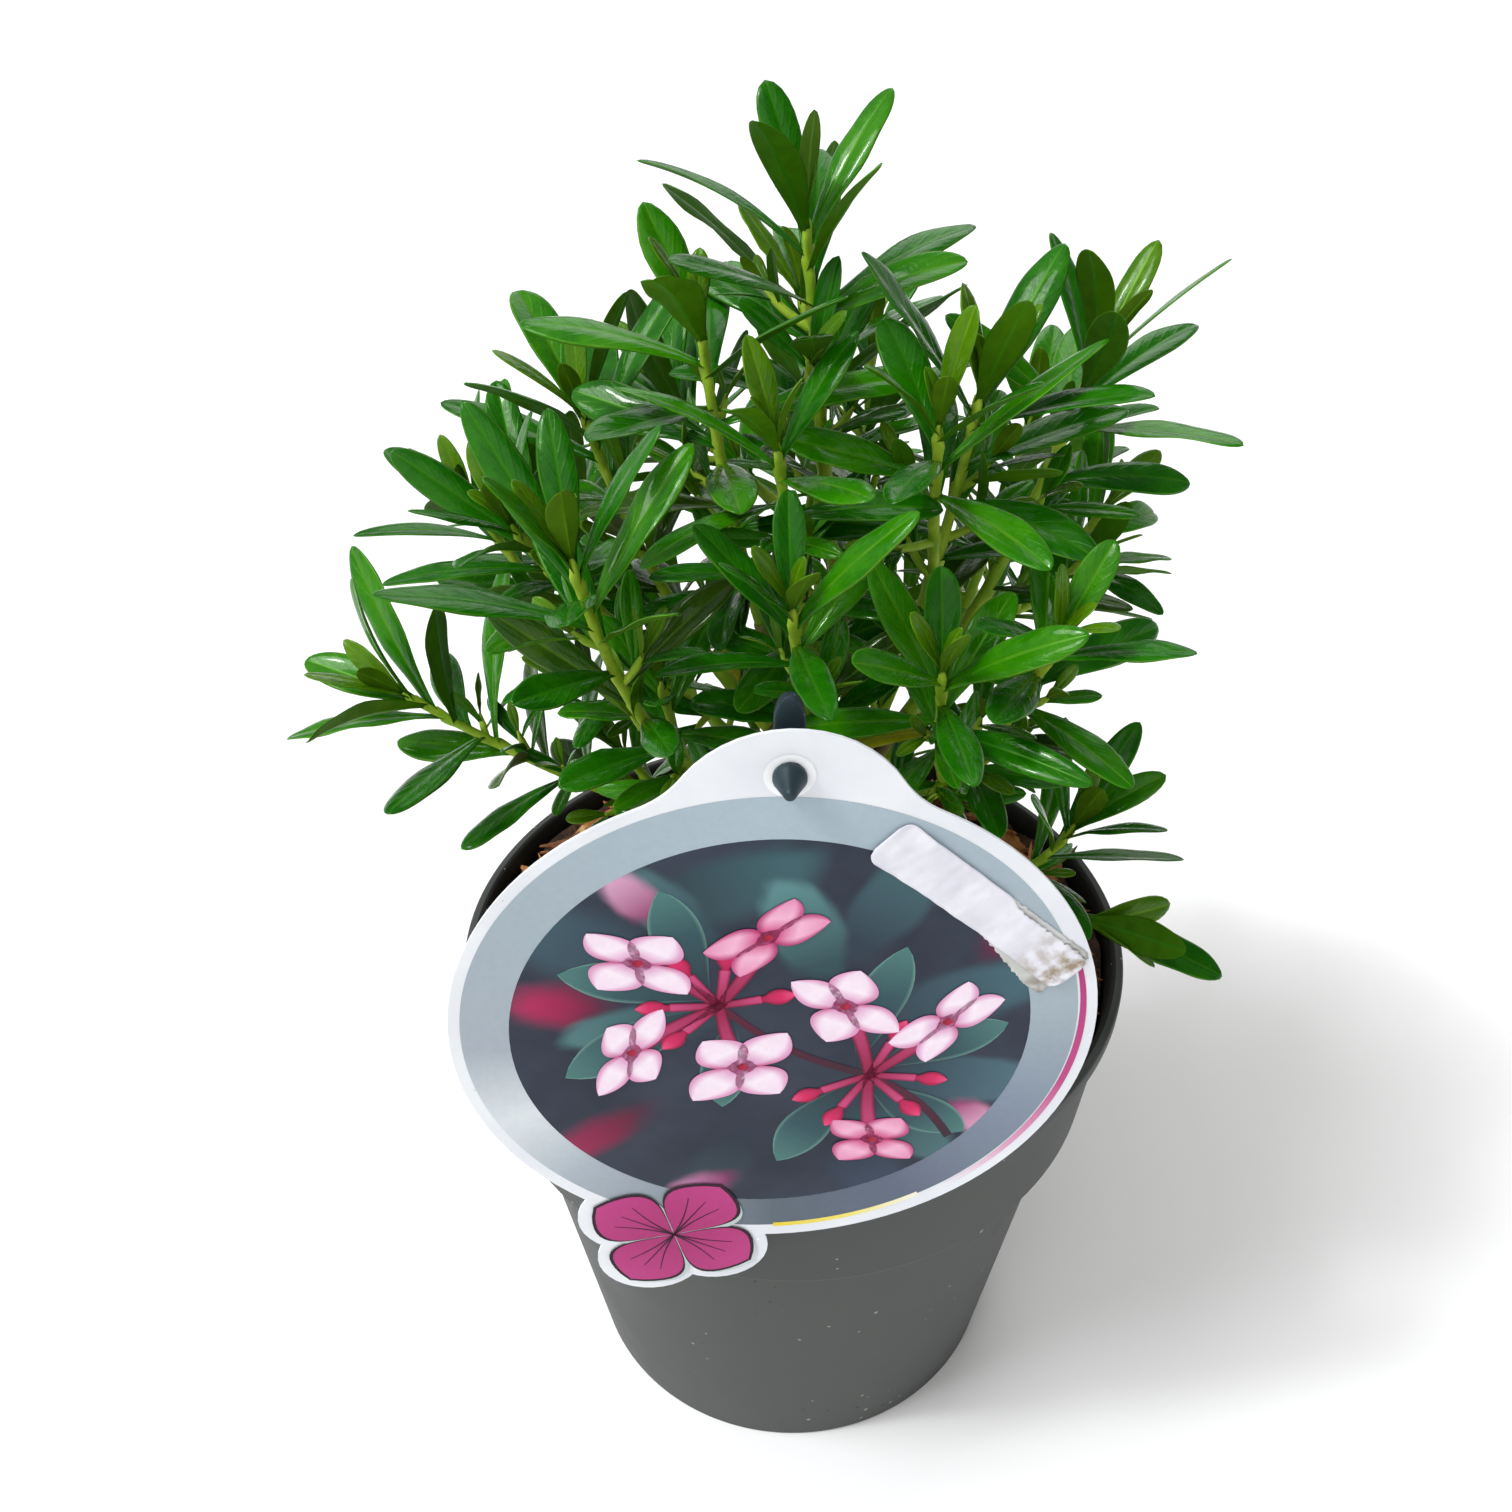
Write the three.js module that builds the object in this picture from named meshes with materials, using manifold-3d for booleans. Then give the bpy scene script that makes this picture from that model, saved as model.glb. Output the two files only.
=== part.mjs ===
// Young daphne shrub in a round nursery pot, with its hanging picture label.
// Millimetres, +Z up. The origin is the centre of the pot's underside.
//
// A short woody stem stands in the compost and forks into tapering boughs.
// Every bough ends in one mass of foliage: a leafy stem, its side shoots and
// their leaves, which follow the golden angle down each shoot.

import * as THREE from 'three';
import { mergeVertices } from 'three/addons/utils/BufferGeometryUtils.js';
import Module from 'manifold-3d';

const wasm = await Module();
wasm.setup();

// ---- driving dimensions ----------------------------------------------------

const GAP = 0.3; // left between neighbouring pieces
const GRID = 0.001; // corners of a joined solid lie on this grid
const FINE_GRID = 0.0001; // corners closer than this are one

const POT_HEIGHT = 112;
const POT_FOOT_RADIUS = 46.7;
const POT_WAIST_RADIUS = 57.4; // where the plain wall meets the upper band
const POT_WAIST_HEIGHT = 81.5;
const POT_BAND_RADIUS = 61.2; // foot of the upper band
const POT_RIM_RADIUS = 65;
const POT_LIP_HEIGHT = 3.6;
const POT_LIP_REACH = 1.5; // how far the lip stands out from the band
const POT_SOFT_EDGE = 1.2;
const POT_WALL = 1.4;
const POT_FLOOR = 2.2;
const DRAIN_HOLES = 8;
const DRAIN_RADIUS = 3.6;
const DRAIN_CIRCLE = 36;
const POT_SIDES = 48;

const COMPOST_TOP = 106;
const COMPOST_RADIUS = 60.8;
const COMPOST_SIDES = 30;
const LEVEL_RADIUS = 13; // the compost lies level round the stem's foot
const LEVEL_BLEND = 10; // from there out to its full unevenness

const TRUNK_FOOT = new THREE.Vector3(8.3, 4.2, COMPOST_TOP + GAP);
const TRUNK_TOP = new THREE.Vector3(11, 6, 156);
const TRUNK_RADIUS = 5.2;
const TRUNK_TAPER = 1.6; // radius lost from foot to fork
const ROOT_FLARE = 3.2; // added to the radius at the foot
const ROOT_FLARE_HEIGHT = 5;
const ROOTS = 5; // root ridges round the flare
const ROOT_SHARPNESS = 0.35;
const ROOT_TURN = 0.6;
const TRUNK_SIDES = 20;

const SHOOT_TIP_RADIUS = 0.75;
const SIDE_BOW = 0.45; // bow of a side shoot, as in the table of the crown
const SHOOT_TAPER = 0.0125; // radius gained for each mm back from the growing tip
const LIMB_STEPS = 40; // in which a limb's length is measured
const BOUGH_SIDES = 6;
const TWIG_SIDES = 3;
const TWIG_SPREAD = 1.25; // makes a three-sided twig as stout as a round one

const GOLDEN_ANGLE = 137.5; // degrees from one leaf to the next down a shoot
const BUD_LENGTH = 0.6; // from the growing tip to its first leaf
const LEAF_STEP = 0.55; // between leaves there, and LEAF_STEP_GAIN more at each further one
const LEAF_STEP_GAIN = 0.13;
const LEAF_OPENING = { tip: 11, each: 6.5, most: 64 }; // degrees off the shoot, by rank
const LEAF_GROWTH = { tip: 0.5, each: 0.12, old: 0.85 }; // share of a full leaf, by rank
const OLD_RANK = 10; // leaves further down are old ones
const LEAF_SLIMNESS = [0.215, 0.265]; // width over length
const LIGHT = new THREE.Vector3(0, -0.35, 0.937); // where leaves turn their upper sides
const LEAF_FACING = 0.7; // how strongly they do
const LEAF_LEVEL = 0.4; // sine of the rise below which a leaf lifts itself
const LEAF_CLIMB = 0.55; // how much of the difference it makes up
const LEAF_BEND = [6, 28]; // degrees from root to tip
const BEND_LAG = 0.6; // share of the bend that the midrib has swung through at a place
const LEAF_WANDER = { turn: 24, opening: 20, roll: 40, length: 0.3 }; // full range of chance
const BLADE_WIDEST = 0.58; // share of the length where the blade is widest
const BLADE_FULLNESS = 1.1; // a straight-edged blade is wider than the curved one it stands for
const STALK_SHARE = 0.14; // width at the root over the full width
const LEAF_THICKNESS = 0.5;
const LEAF_ROOT_DEPTH = 0.2; // the blade starts this far along, well inside the shoot
const LEAF_ROOT_HALF = 0.4;

const LEAF_CLEARANCE = 1.9; // kept to every other shoot and limb
const SISTER_CLEARANCE = 1.2; // kept between the leaves of one shoot, past their roots
const ROOT_SHARE = 0.35; // share of a leaf that counts as its root
const SPOT_SPACING = 1.6; // across a blade, between the points that are kept clear
const SPOT_REACH = 0.92; // how far out on the half width they go
const LIMB_ALLOWANCE = 0.9; // a limb's radius that the clearance already covers
const FORK_MARGIN = [6, 3]; // end of a leader and of a side shoot that leaves may touch
const LOWEST_LEAF = 1.5; // bare stem under the lowest leaf
const SIDE_BARE = 2; // bare foot of a side shoot
const FIRST_LEAF = 1; // the unopened leaf at the growing tip is too small to build
const LEAF_TRIES = 7;
const CELL = 3; // edge of the cells that hold the occupied points

const LABEL_CENTRE = new THREE.Vector3(-3.2, -66.4, 150.7); // middle of its front face
const LABEL_TURN = 3; // degrees about the upright
const LABEL_RADIUS = 47;
const LABEL_THICKNESS = 0.5;
const TAB_CENTRE = [1.9, 38.3];
const TAB_RADIUS = 16.8;
const TAB_FILLET = 14;
const TAB_HOLE = [1.9, 48.3];
const TAB_HOLE_RADIUS = 2.1;
const LABEL_SIDES = 56;
const TAB_SIDES = 24;
const BADGE_CENTRE = [-17, -45.5];
const BADGE_REACH = 8; // from its middle to each round lobe's middle
const BADGE_LOBE = 8.8;
const BADGE_TURN = 57;
const BADGE_SIDES = 16;
const STRIP_CENTRE = [28.4, 25.1];
const STRIP_SIZE = [38, 7.8];
const STRIP_TURN = -43;
const STRIP_THICKNESS = 0.3;
const STRIP_CORNER = 1.6;

const STAKE_FRONT = -59.7; // the label holder's flat stake, just inside the rim
const STAKE_DEPTH = 2.4;
const STAKE_HALF_WIDTH = 2.1;
const STAKE_TOP = 206;
const STAKE_FOOT = 84;
const STAKE_POINT = 0.6; // half the width of its blunt foot
const PEG_NECK_RADIUS = 1.6;
const PEG_HEAD_RADIUS = 2.2;
const PEG_HEAD_TIP_RADIUS = 0.7;
const PEG_HEAD_LENGTH = 4.4;

// ---- the crown -------------------------------------------------------------
// fork: height at which the bough leaves the trunk. bow: 0 is a straight limb,
// 1 one that runs out first and then turns up. leafy: length of the leafy stem
// above the bough's end. Each shoot has its growing tip, its number of leaves,
// the length of a full leaf, the turn of its first leaf, how widely its leaves
// spread, its seed, and for a side shoot how far along the limb it starts.

const shoot = (tip, leaves, blade, turn, spread, seed, from = 0) =>
  ({ tip: new THREE.Vector3(...tip), leaves, blade, turn, spread, seed, from });

const CROWN = {
  top: {
    fork: 156, bow: 0.2, leafy: 62,
    shoots: [
      shoot([1, 5, 246], 17, 27, 20, 0.85, 459),
      shoot([1, 30, 227], 14, 32, 208, 1.0, 914, 0.5),
    ],
  },
  crown_left: {
    fork: 146, bow: 0.7, leafy: 52,
    shoots: [
      shoot([-14, -5, 234], 17, 30, 28, 1.25, 597),
    ],
  },
  front_left: {
    fork: 138, bow: 0.8, leafy: 62,
    shoots: [
      shoot([-31, -35, 213], 18, 27, 348, 0.85, 457),
      shoot([-21, -23, 185], 9, 20, 264, 1.25, 115, 0.48),
    ],
  },
  left: {
    fork: 141, bow: 0.55, leafy: 66,
    shoots: [
      shoot([-35, 16, 212], 17, 31, 244, 0.92, 341),
      shoot([-45, -4, 202], 14, 26, 132, 0.85, 341, 0.42),
      shoot([-38, -2, 173], 8, 20, 330, 1.25, 509, 0.3),
    ],
  },
  centre: {
    fork: 150, bow: 0.45, leafy: 56,
    shoots: [
      shoot([-3, -21, 223], 18, 25, 156, 1.25, 679),
    ],
  },
  crown_right: {
    fork: 147, bow: 0.4, leafy: 62,
    shoots: [
      shoot([27, -5, 224], 17, 31, 188, 1.0, 534),
      shoot([20, -15, 223], 10, 26, 96, 1.25, 649, 0.6),
    ],
  },
  right_upper: {
    fork: 143, bow: 0.35, leafy: 70,
    shoots: [
      shoot([47, 10, 224], 17, 28, 112, 1.08, 729),
      shoot([53, 23, 182], 12, 23, 128, 1.08, 669, 0.38),
    ],
  },
  front_right: {
    fork: 135, bow: 0.5, leafy: 60,
    shoots: [
      shoot([38, -30, 197], 14, 25, 320, 1.25, 547),
      shoot([20, -40, 198], 12, 24, 340, 1.08, 346, 0.45),
      shoot([29, -24, 179], 8, 21, 208, 1.25, 548, 0.28),
    ],
  },
  front: {
    fork: 143, bow: 0.55, leafy: 50,
    shoots: [
      shoot([-1, -38, 207], 15, 24, 352, 1.0, 88),
      shoot([4, -34, 191], 8, 19, 345, 1.25, 642, 0.55),
    ],
  },
  far_left: {
    fork: 124, bow: 0.3, leafy: 72,
    shoots: [
      shoot([-70, 4, 165], 17, 30, 272, 1.0, 313),
      shoot([-32, 6, 151], 7, 22, 40, 1.25, 553, 0.24),
    ],
  },
  far_right: {
    fork: 115, bow: 0.9, leafy: 34,
    shoots: [
      shoot([52, -4, 142], 10, 26, 280, 0.85, 897),
      shoot([56, -11, 123], 4, 32, 135, 0.92, 836, 0.6),
    ],
  },
  back_top: {
    fork: 150, bow: 0.4, leafy: 60,
    shoots: [
      shoot([14, 48, 212], 15, 28, 295, 1.0, 182),
      shoot([-24, 46, 204], 13, 28, 150, 0.85, 331, 0.5),
    ],
  },
  back_right: {
    fork: 133, bow: 0.5, leafy: 74,
    shoots: [
      shoot([44, 44, 200], 14, 28, 60, 1.0, 319),
      shoot([48, 66, 166], 11, 28, 240, 0.85, 453, 0.4),
      shoot([58, 34, 187], 9, 26, 100, 1.25, 151, 0.5),
    ],
  },
  back: {
    fork: 129, bow: 0.6, leafy: 74,
    shoots: [
      shoot([4, 74, 178], 13, 28, 230, 1.25, 668),
      shoot([34, 80, 146], 10, 27, 215, 1.08, 147, 0.45),
      shoot([-32, 72, 148], 8, 27, 275, 1.16, 26, 0.4),
    ],
  },
  back_left: {
    fork: 131, bow: 0.6, leafy: 70,
    shoots: [
      shoot([-46, 54, 176], 14, 28, 40, 0.85, 4),
      shoot([-58, 28, 190], 12, 28, 275, 1.0, 448, 0.45),
    ],
  },
};

// ---- solids ----------------------------------------------------------------

function paint(colour, roughness) {
  return new THREE.MeshStandardMaterial({ color: colour, roughness, metalness: 0, flatShading: true });
}

// A closed geometry with its shared corners merged, as a solid that can be cut and joined.
function solidOf(geometry) {
  const bare = geometry.clone();
  bare.deleteAttribute('normal');
  bare.deleteAttribute('uv');
  const welded = mergeVertices(bare, GRID);
  const corners = welded.index.array;
  const kept = [];
  for (let i = 0; i < corners.length; i += 3) {
    const [a, b, c] = [corners[i], corners[i + 1], corners[i + 2]];
    if (a !== b && b !== c && c !== a) kept.push(a, b, c);
  }
  return new wasm.Manifold(new wasm.Mesh({
    numProp: 3,
    vertProperties: Float32Array.from(welded.attributes.position.array),
    triVerts: Uint32Array.from(kept),
  }));
}

function geometryOf(solid) {
  const mesh = solid.getMesh();
  const geometry = new THREE.BufferGeometry();
  geometry.setAttribute('position', new THREE.BufferAttribute(Float32Array.from(mesh.vertProperties), 3));
  geometry.setIndex(new THREE.BufferAttribute(Uint32Array.from(mesh.triVerts), 1));
  geometry.computeVertexNormals();
  return geometry;
}

// Whether every edge has one face on each side and all faces hang together.
function closes({ vertProperties, triVerts }) {
  const places = new Map();
  const placeOf = [];
  for (let i = 0; i < vertProperties.length; i += 3) {
    const key = [0, 1, 2].map((axis) => Math.round(vertProperties[i + axis] / FINE_GRID)).join();
    if (!places.has(key)) places.set(key, places.size);
    placeOf.push(places.get(key));
  }
  const group = [...places.values()];
  const rootOf = (place) => {
    let at = place;
    while (group[at] !== at) at = group[at];
    return at;
  };
  const stride = places.size;
  const edges = new Map();
  for (let i = 0; i < triVerts.length; i += 3) {
    const corners = [0, 1, 2].map((k) => placeOf[triVerts[i + k]]);
    if (new Set(corners).size < 3) continue;
    corners.forEach((from, k) => {
      const to = corners[(k + 1) % 3];
      edges.set(from * stride + to, (edges.get(from * stride + to) ?? 0) + 1);
      group[rootOf(from)] = rootOf(to);
    });
  }
  for (const [edge, uses] of edges) {
    const [from, to] = [Math.floor(edge / stride), edge % stride];
    if (uses !== 1 || edges.get(to * stride + from) !== 1) return false;
  }
  return new Set([...edges.keys()].map((edge) => rootOf(edge % stride))).size === 1;
}

// A joined solid with its corners on the grid, or null where it no longer closes there.
function settled(solid) {
  const geometry = geometryOf(solid);
  const place = geometry.attributes.position.array;
  place.forEach((value, i) => { place[i] = Math.round(value / GRID) * GRID; });
  try {
    const made = solidOf(geometry);
    return closes(made.getMesh()) ? made : null;
  } catch {
    return null;
  }
}

function node(name, solid, material) {
  const mesh = new THREE.Mesh(geometryOf(solid), material);
  mesh.name = name;
  return mesh;
}

// A profile of [radius, height] pairs turned round the upright axis.
function turned(profile, segments) {
  const points = profile.map(([radius, height]) => new THREE.Vector2(radius, height));
  return new THREE.LatheGeometry(points, segments).rotateX(Math.PI / 2);
}

// Rings of corners round a path, closed at both ends by a flat fan round its centre.
function tube(centres, frames, outlineOf, sides) {
  const positions = [];
  const index = [];
  centres.forEach((centre, ring) => {
    const { across, up } = frames[ring];
    for (let side = 0; side < sides; side += 1) {
      const angle = (2 * Math.PI * side) / sides;
      const radius = outlineOf(ring, angle);
      positions.push(...centre.clone()
        .addScaledVector(across, radius * Math.cos(angle))
        .addScaledVector(up, radius * Math.sin(angle)));
    }
  });
  const rings = centres.length;
  for (let ring = 0; ring < rings - 1; ring += 1) {
    for (let side = 0; side < sides; side += 1) {
      const a = ring * sides + side;
      const b = ring * sides + ((side + 1) % sides);
      index.push(a, b, b + sides, a, b + sides, a + sides);
    }
  }
  const last = (rings - 1) * sides;
  const [firstCentre, lastCentre] = [rings * sides, rings * sides + 1];
  positions.push(...centres[0], ...centres[rings - 1]);
  for (let side = 0; side < sides; side += 1) {
    const next = (side + 1) % sides;
    index.push(firstCentre, next, side);
    index.push(lastCentre, last + side, last + next);
  }
  const geometry = new THREE.BufferGeometry();
  geometry.setAttribute('position', new THREE.Float32BufferAttribute(positions, 3));
  geometry.setIndex(index);
  return geometry;
}

// ---- pot and compost -------------------------------------------------------

function potSolid() {
  const bandTop = POT_HEIGHT - POT_LIP_HEIGHT;
  const bandTopRadius = POT_RIM_RADIUS - POT_LIP_REACH;
  const outside = [
    [0, 0], [POT_FOOT_RADIUS - POT_SOFT_EDGE, 0], [POT_FOOT_RADIUS, POT_SOFT_EDGE],
    [POT_WAIST_RADIUS, POT_WAIST_HEIGHT - POT_SOFT_EDGE], [POT_BAND_RADIUS, POT_WAIST_HEIGHT],
    [bandTopRadius, bandTop - POT_SOFT_EDGE], [POT_RIM_RADIUS, bandTop],
    [POT_RIM_RADIUS, POT_HEIGHT - POT_SOFT_EDGE / 2], [POT_RIM_RADIUS - POT_SOFT_EDGE / 2, POT_HEIGHT],
  ];
  const inside = [
    [bandTopRadius, POT_HEIGHT], [bandTopRadius - POT_WALL, POT_HEIGHT - POT_SOFT_EDGE],
    [POT_BAND_RADIUS - POT_WALL, POT_WAIST_HEIGHT + POT_WALL],
    [POT_WAIST_RADIUS - POT_WALL, POT_WAIST_HEIGHT - POT_WALL],
    [POT_FOOT_RADIUS - POT_WALL, POT_FLOOR], [0, POT_FLOOR],
  ];
  let pot = solidOf(turned([...outside, ...inside], POT_SIDES));
  for (let k = 0; k < DRAIN_HOLES; k += 1) {
    const angle = (2 * Math.PI * (k + 0.5)) / DRAIN_HOLES;
    const drill = new THREE.CylinderGeometry(DRAIN_RADIUS, DRAIN_RADIUS, 3 * POT_FLOOR, 10)
      .rotateX(Math.PI / 2)
      .translate(DRAIN_CIRCLE * Math.cos(angle), DRAIN_CIRCLE * Math.sin(angle), 0);
    pot = pot.subtract(solidOf(drill));
  }
  return pot;
}

// Height of the compost, uneven but level round the stem's foot.
function compostHeight(x, y) {
  const away = Math.hypot(x - TRUNK_FOOT.x, y - TRUNK_FOOT.y) - LEVEL_RADIUS;
  const blend = THREE.MathUtils.smoothstep(away, 0, LEVEL_BLEND);
  const swell = 1.1 * Math.sin(0.23 * x + 1) * Math.cos(0.19 * y) + 0.7 * Math.sin(0.51 * x - 0.43 * y);
  return COMPOST_TOP + blend * swell;
}

// The compost fills the pot, and its top is a fan of rings that follow the uneven height.
function compostSolid() {
  const clear = POT_WALL + GAP;
  const ringRadii = [COMPOST_RADIUS, 52, 42, 32, 22, 12, 0];
  const profile = [
    [0, POT_FLOOR + GAP], [POT_FOOT_RADIUS - clear, POT_FLOOR + GAP],
    [POT_WAIST_RADIUS - clear, POT_WAIST_HEIGHT - POT_WALL],
    [POT_BAND_RADIUS - clear, POT_WAIST_HEIGHT + POT_WALL + GAP],
    ...ringRadii.map((radius) => [radius, COMPOST_TOP]),
  ];
  const geometry = turned(profile, COMPOST_SIDES);
  const place = geometry.attributes.position;
  for (let i = 0; i < place.count; i += 1) {
    if (place.getZ(i) === COMPOST_TOP) place.setZ(i, compostHeight(place.getX(i), place.getY(i)));
  }
  const deep = 2 * (COMPOST_TOP - STAKE_FOOT + GAP);
  const slot = new THREE.BoxGeometry(2 * (STAKE_HALF_WIDTH + GAP), STAKE_DEPTH + 2 * GAP, deep)
    .translate(LABEL_CENTRE.x + TAB_HOLE[0], STAKE_FRONT + STAKE_DEPTH / 2, COMPOST_TOP);
  return solidOf(geometry).subtract(solidOf(slot));
}

// ---- trunk and limbs -------------------------------------------------------

function trunkAt(height) {
  const share = (height - TRUNK_FOOT.z) / (TRUNK_TOP.z - TRUNK_FOOT.z);
  return TRUNK_FOOT.clone().lerp(TRUNK_TOP, share);
}

// The trunk, grown by a margin when it is used to shape the boughs that meet it.
function trunkSolid(margin = 0) {
  const tall = TRUNK_TOP.z - TRUNK_FOOT.z;
  const heights = [0, 1.5, 4, 8, 14, 22, 32, 44, tall + margin];
  const centres = heights.map((rise) => trunkAt(TRUNK_FOOT.z + rise));
  const flat = { across: new THREE.Vector3(1, 0, 0), up: new THREE.Vector3(0, 1, 0) };
  const radiusOf = (ring, angle) => {
    const rise = heights[ring];
    const flare = ROOT_FLARE * Math.exp(-rise / ROOT_FLARE_HEIGHT);
    const taper = (TRUNK_TAPER * rise) / tall;
    const buttress = 1 + ROOT_SHARPNESS * Math.cos(ROOTS * angle + ROOT_TURN);
    return TRUNK_RADIUS - taper + flare * buttress + margin;
  };
  return solidOf(tube(centres, centres.map(() => flat), radiusOf, TRUNK_SIDES));
}

// A limb leaves its foot, runs outwards and bends up to its growing tip.
class Limb {
  constructor(foot, tip, bow) {
    const reach = tip.clone().sub(foot);
    const level = 0.5 + 0.4 * bow;
    const rise = 0.5 - 0.3 * bow;
    const middle = foot.clone().add(new THREE.Vector3(reach.x * level, reach.y * level, reach.z * rise));
    this.curve = new THREE.QuadraticBezierCurve3(foot, middle, tip);
    this.steps = LIMB_STEPS;
    this.lengths = this.curve.getLengths(this.steps);
    this.length = this.lengths[this.steps];
  }

  // The curve's own parameter at a distance back from the growing tip.
  back(distance) {
    const along = this.length - distance;
    for (let k = 0; k < this.steps; k += 1) {
      const [near, far] = [this.lengths[k], this.lengths[k + 1]];
      if (far >= along) return (k + (along - near) / (far - near)) / this.steps;
    }
    return 1;
  }

  pointBack(distance) {
    return this.curve.getPoint(this.back(distance));
  }

  directionBack(distance) {
    const u = this.back(distance);
    const { v0, v1, v2 } = this.curve;
    const first = v1.clone().sub(v0).multiplyScalar(1 - u);
    return first.addScaledVector(v2.clone().sub(v1), u).normalize();
  }
}

const radiusBack = (distance) => SHOOT_TIP_RADIUS + SHOOT_TAPER * distance;

// The stretch of a limb between two distances back from its tip.
function limbSolid(limb, from, to, sides, steps) {
  const spread = sides === TWIG_SIDES ? TWIG_SPREAD : 1;
  const distances = [];
  for (let k = 0; k <= steps; k += 1) distances.push(from + ((to - from) * k) / steps);
  const centres = distances.map((distance) => limb.pointBack(distance));
  const frames = distances.map((distance) => {
    const along = limb.directionBack(distance);
    const across = new THREE.Vector3(0, 1, 0).cross(along).normalize();
    return { across, up: along.clone().cross(across) };
  });
  return solidOf(tube(centres, frames, (ring) => spread * radiusBack(distances[ring]), sides));
}

// ---- leaves ----------------------------------------------------------------

// A steady stream of numbers from 0 to 1 for one seed.
function seeded(seed) {
  const modulus = 2147483647;
  let state = (seed * 48271) % modulus;
  const next = () => {
    state = (state * 16807) % modulus;
    return state / modulus;
  };
  for (let k = 0; k < 3; k += 1) next();
  return next;
}

const leafDistance = (rank) => BUD_LENGTH + LEAF_STEP * rank + LEAF_STEP_GAIN * rank * rank;
const between = ([low, high], share) => low + (high - low) * share;

// One leaf: its root, its direction, its upper side's normal and its sizes.
function leafOf(limb, spray, rank, draw) {
  const distance = leafDistance(rank);
  const root = limb.pointBack(distance);
  const along = limb.directionBack(distance);
  const side = along.clone().cross(new THREE.Vector3(0, 1, 0)).normalize();
  const other = along.clone().cross(side);
  const [wander, lift, grow, girth, twist] = [draw(), draw(), draw(), draw(), draw()];
  const heading = spray.turn + (wander - 0.5) * LEAF_WANDER.turn + GOLDEN_ANGLE * rank;
  const turn = THREE.MathUtils.degToRad(heading);
  const outward = side.multiplyScalar(Math.cos(turn)).addScaledVector(other, Math.sin(turn));
  const opening = Math.min(LEAF_OPENING.tip + LEAF_OPENING.each * rank, LEAF_OPENING.most);
  const tilt = THREE.MathUtils.degToRad(spray.spread * opening + (lift - 0.5) * LEAF_WANDER.opening);
  const growth = Math.min(1, LEAF_GROWTH.tip + LEAF_GROWTH.each * rank);
  const grown = rank > OLD_RANK ? LEAF_GROWTH.old : growth;
  const direction = along.clone().multiplyScalar(Math.cos(tilt)).addScaledVector(outward, Math.sin(tilt));
  const normal = along.clone().multiplyScalar(Math.sin(tilt)).addScaledVector(outward, -Math.cos(tilt));
  direction.z += LEAF_CLIMB * Math.max(0, LEAF_LEVEL - direction.z);
  direction.normalize();
  normal.addScaledVector(LIGHT, LEAF_FACING);
  normal.addScaledVector(direction, -normal.dot(direction)).normalize();
  const roll = THREE.MathUtils.degToRad((twist - 0.5) * LEAF_WANDER.roll);
  const edge = direction.clone().cross(normal);
  normal.multiplyScalar(Math.cos(roll)).addScaledVector(edge, Math.sin(roll));
  return {
    root,
    direction,
    normal,
    length: spray.blade * grown * (1 + LEAF_WANDER.length * (grow - 0.5)),
    width: spray.blade * Math.min(1, grown + LEAF_GROWTH.each) * between(LEAF_SLIMNESS, girth),
    bend: THREE.MathUtils.degToRad(between(LEAF_BEND, twist)),
  };
}

// A point on the leaf's midrib, which bends away from the upper side.
function midrib(leaf, share) {
  const angle = BEND_LAG * leaf.bend * share;
  const reach = leaf.length * share;
  return leaf.root.clone()
    .addScaledVector(leaf.direction, reach * Math.cos(angle))
    .addScaledVector(leaf.normal, -reach * Math.sin(angle));
}

// Half the blade's width: it widens slowly from the stalk and tapers to a short point past its widest place.
function halfWidth(leaf, share) {
  if (share < BLADE_WIDEST) {
    const rise = Math.sin((share / BLADE_WIDEST) * (Math.PI / 2));
    return 0.5 * leaf.width * (STALK_SHARE + (1 - STALK_SHARE) * rise ** 1.3);
  }
  const past = (share - BLADE_WIDEST) / (1 - BLADE_WIDEST);
  return 0.5 * leaf.width * Math.max(0, 1 - past ** 1.8) ** 0.72;
}

// A thin kite of ten faces, thickest near the middle of its midrib.
function leafSolid(leaf) {
  const edge = leaf.direction.clone().cross(leaf.normal);
  const widest = midrib(leaf, BLADE_WIDEST);
  const sunk = leaf.root.clone().addScaledVector(leaf.direction, LEAF_ROOT_DEPTH);
  const middle = midrib(leaf, 0.45);
  const half = 0.5 * BLADE_FULLNESS * leaf.width;
  const corners = [
    sunk.clone().addScaledVector(edge, LEAF_ROOT_HALF),
    sunk.clone().addScaledVector(edge, -LEAF_ROOT_HALF),
    widest.clone().addScaledVector(edge, -half),
    midrib(leaf, 1),
    widest.clone().addScaledVector(edge, half),
    middle.clone().addScaledVector(leaf.normal, LEAF_THICKNESS / 2),
    middle.clone().addScaledVector(leaf.normal, -LEAF_THICKNESS / 2),
  ];
  const index = [];
  for (let k = 0; k < 5; k += 1) {
    const next = (k + 1) % 5;
    index.push(next, k, 5, k, next, 6);
  }
  const geometry = new THREE.BufferGeometry();
  geometry.setAttribute('position', new THREE.Float32BufferAttribute(corners.flatMap((c) => [...c]), 3));
  geometry.setIndex(index);
  return solidOf(geometry);
}

// ---- keeping shoots apart --------------------------------------------------

const occupied = new Map();
const cellOf = (value) => Math.floor(value / CELL) + 512;
const cellKey = (x, y, z) => (x * 1024 + y) * 1024 + z;

// Spots are points with a share: how far along its leaf each one lies, or 0 on a limb.
function occupy(spots, owner, radius = 0) {
  spots.forEach(({ point, share }) => {
    const key = cellKey(cellOf(point.x), cellOf(point.y), cellOf(point.z));
    if (!occupied.has(key)) occupied.set(key, []);
    occupied.get(key).push({ point, share, owner, radius });
  });
}

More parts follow.
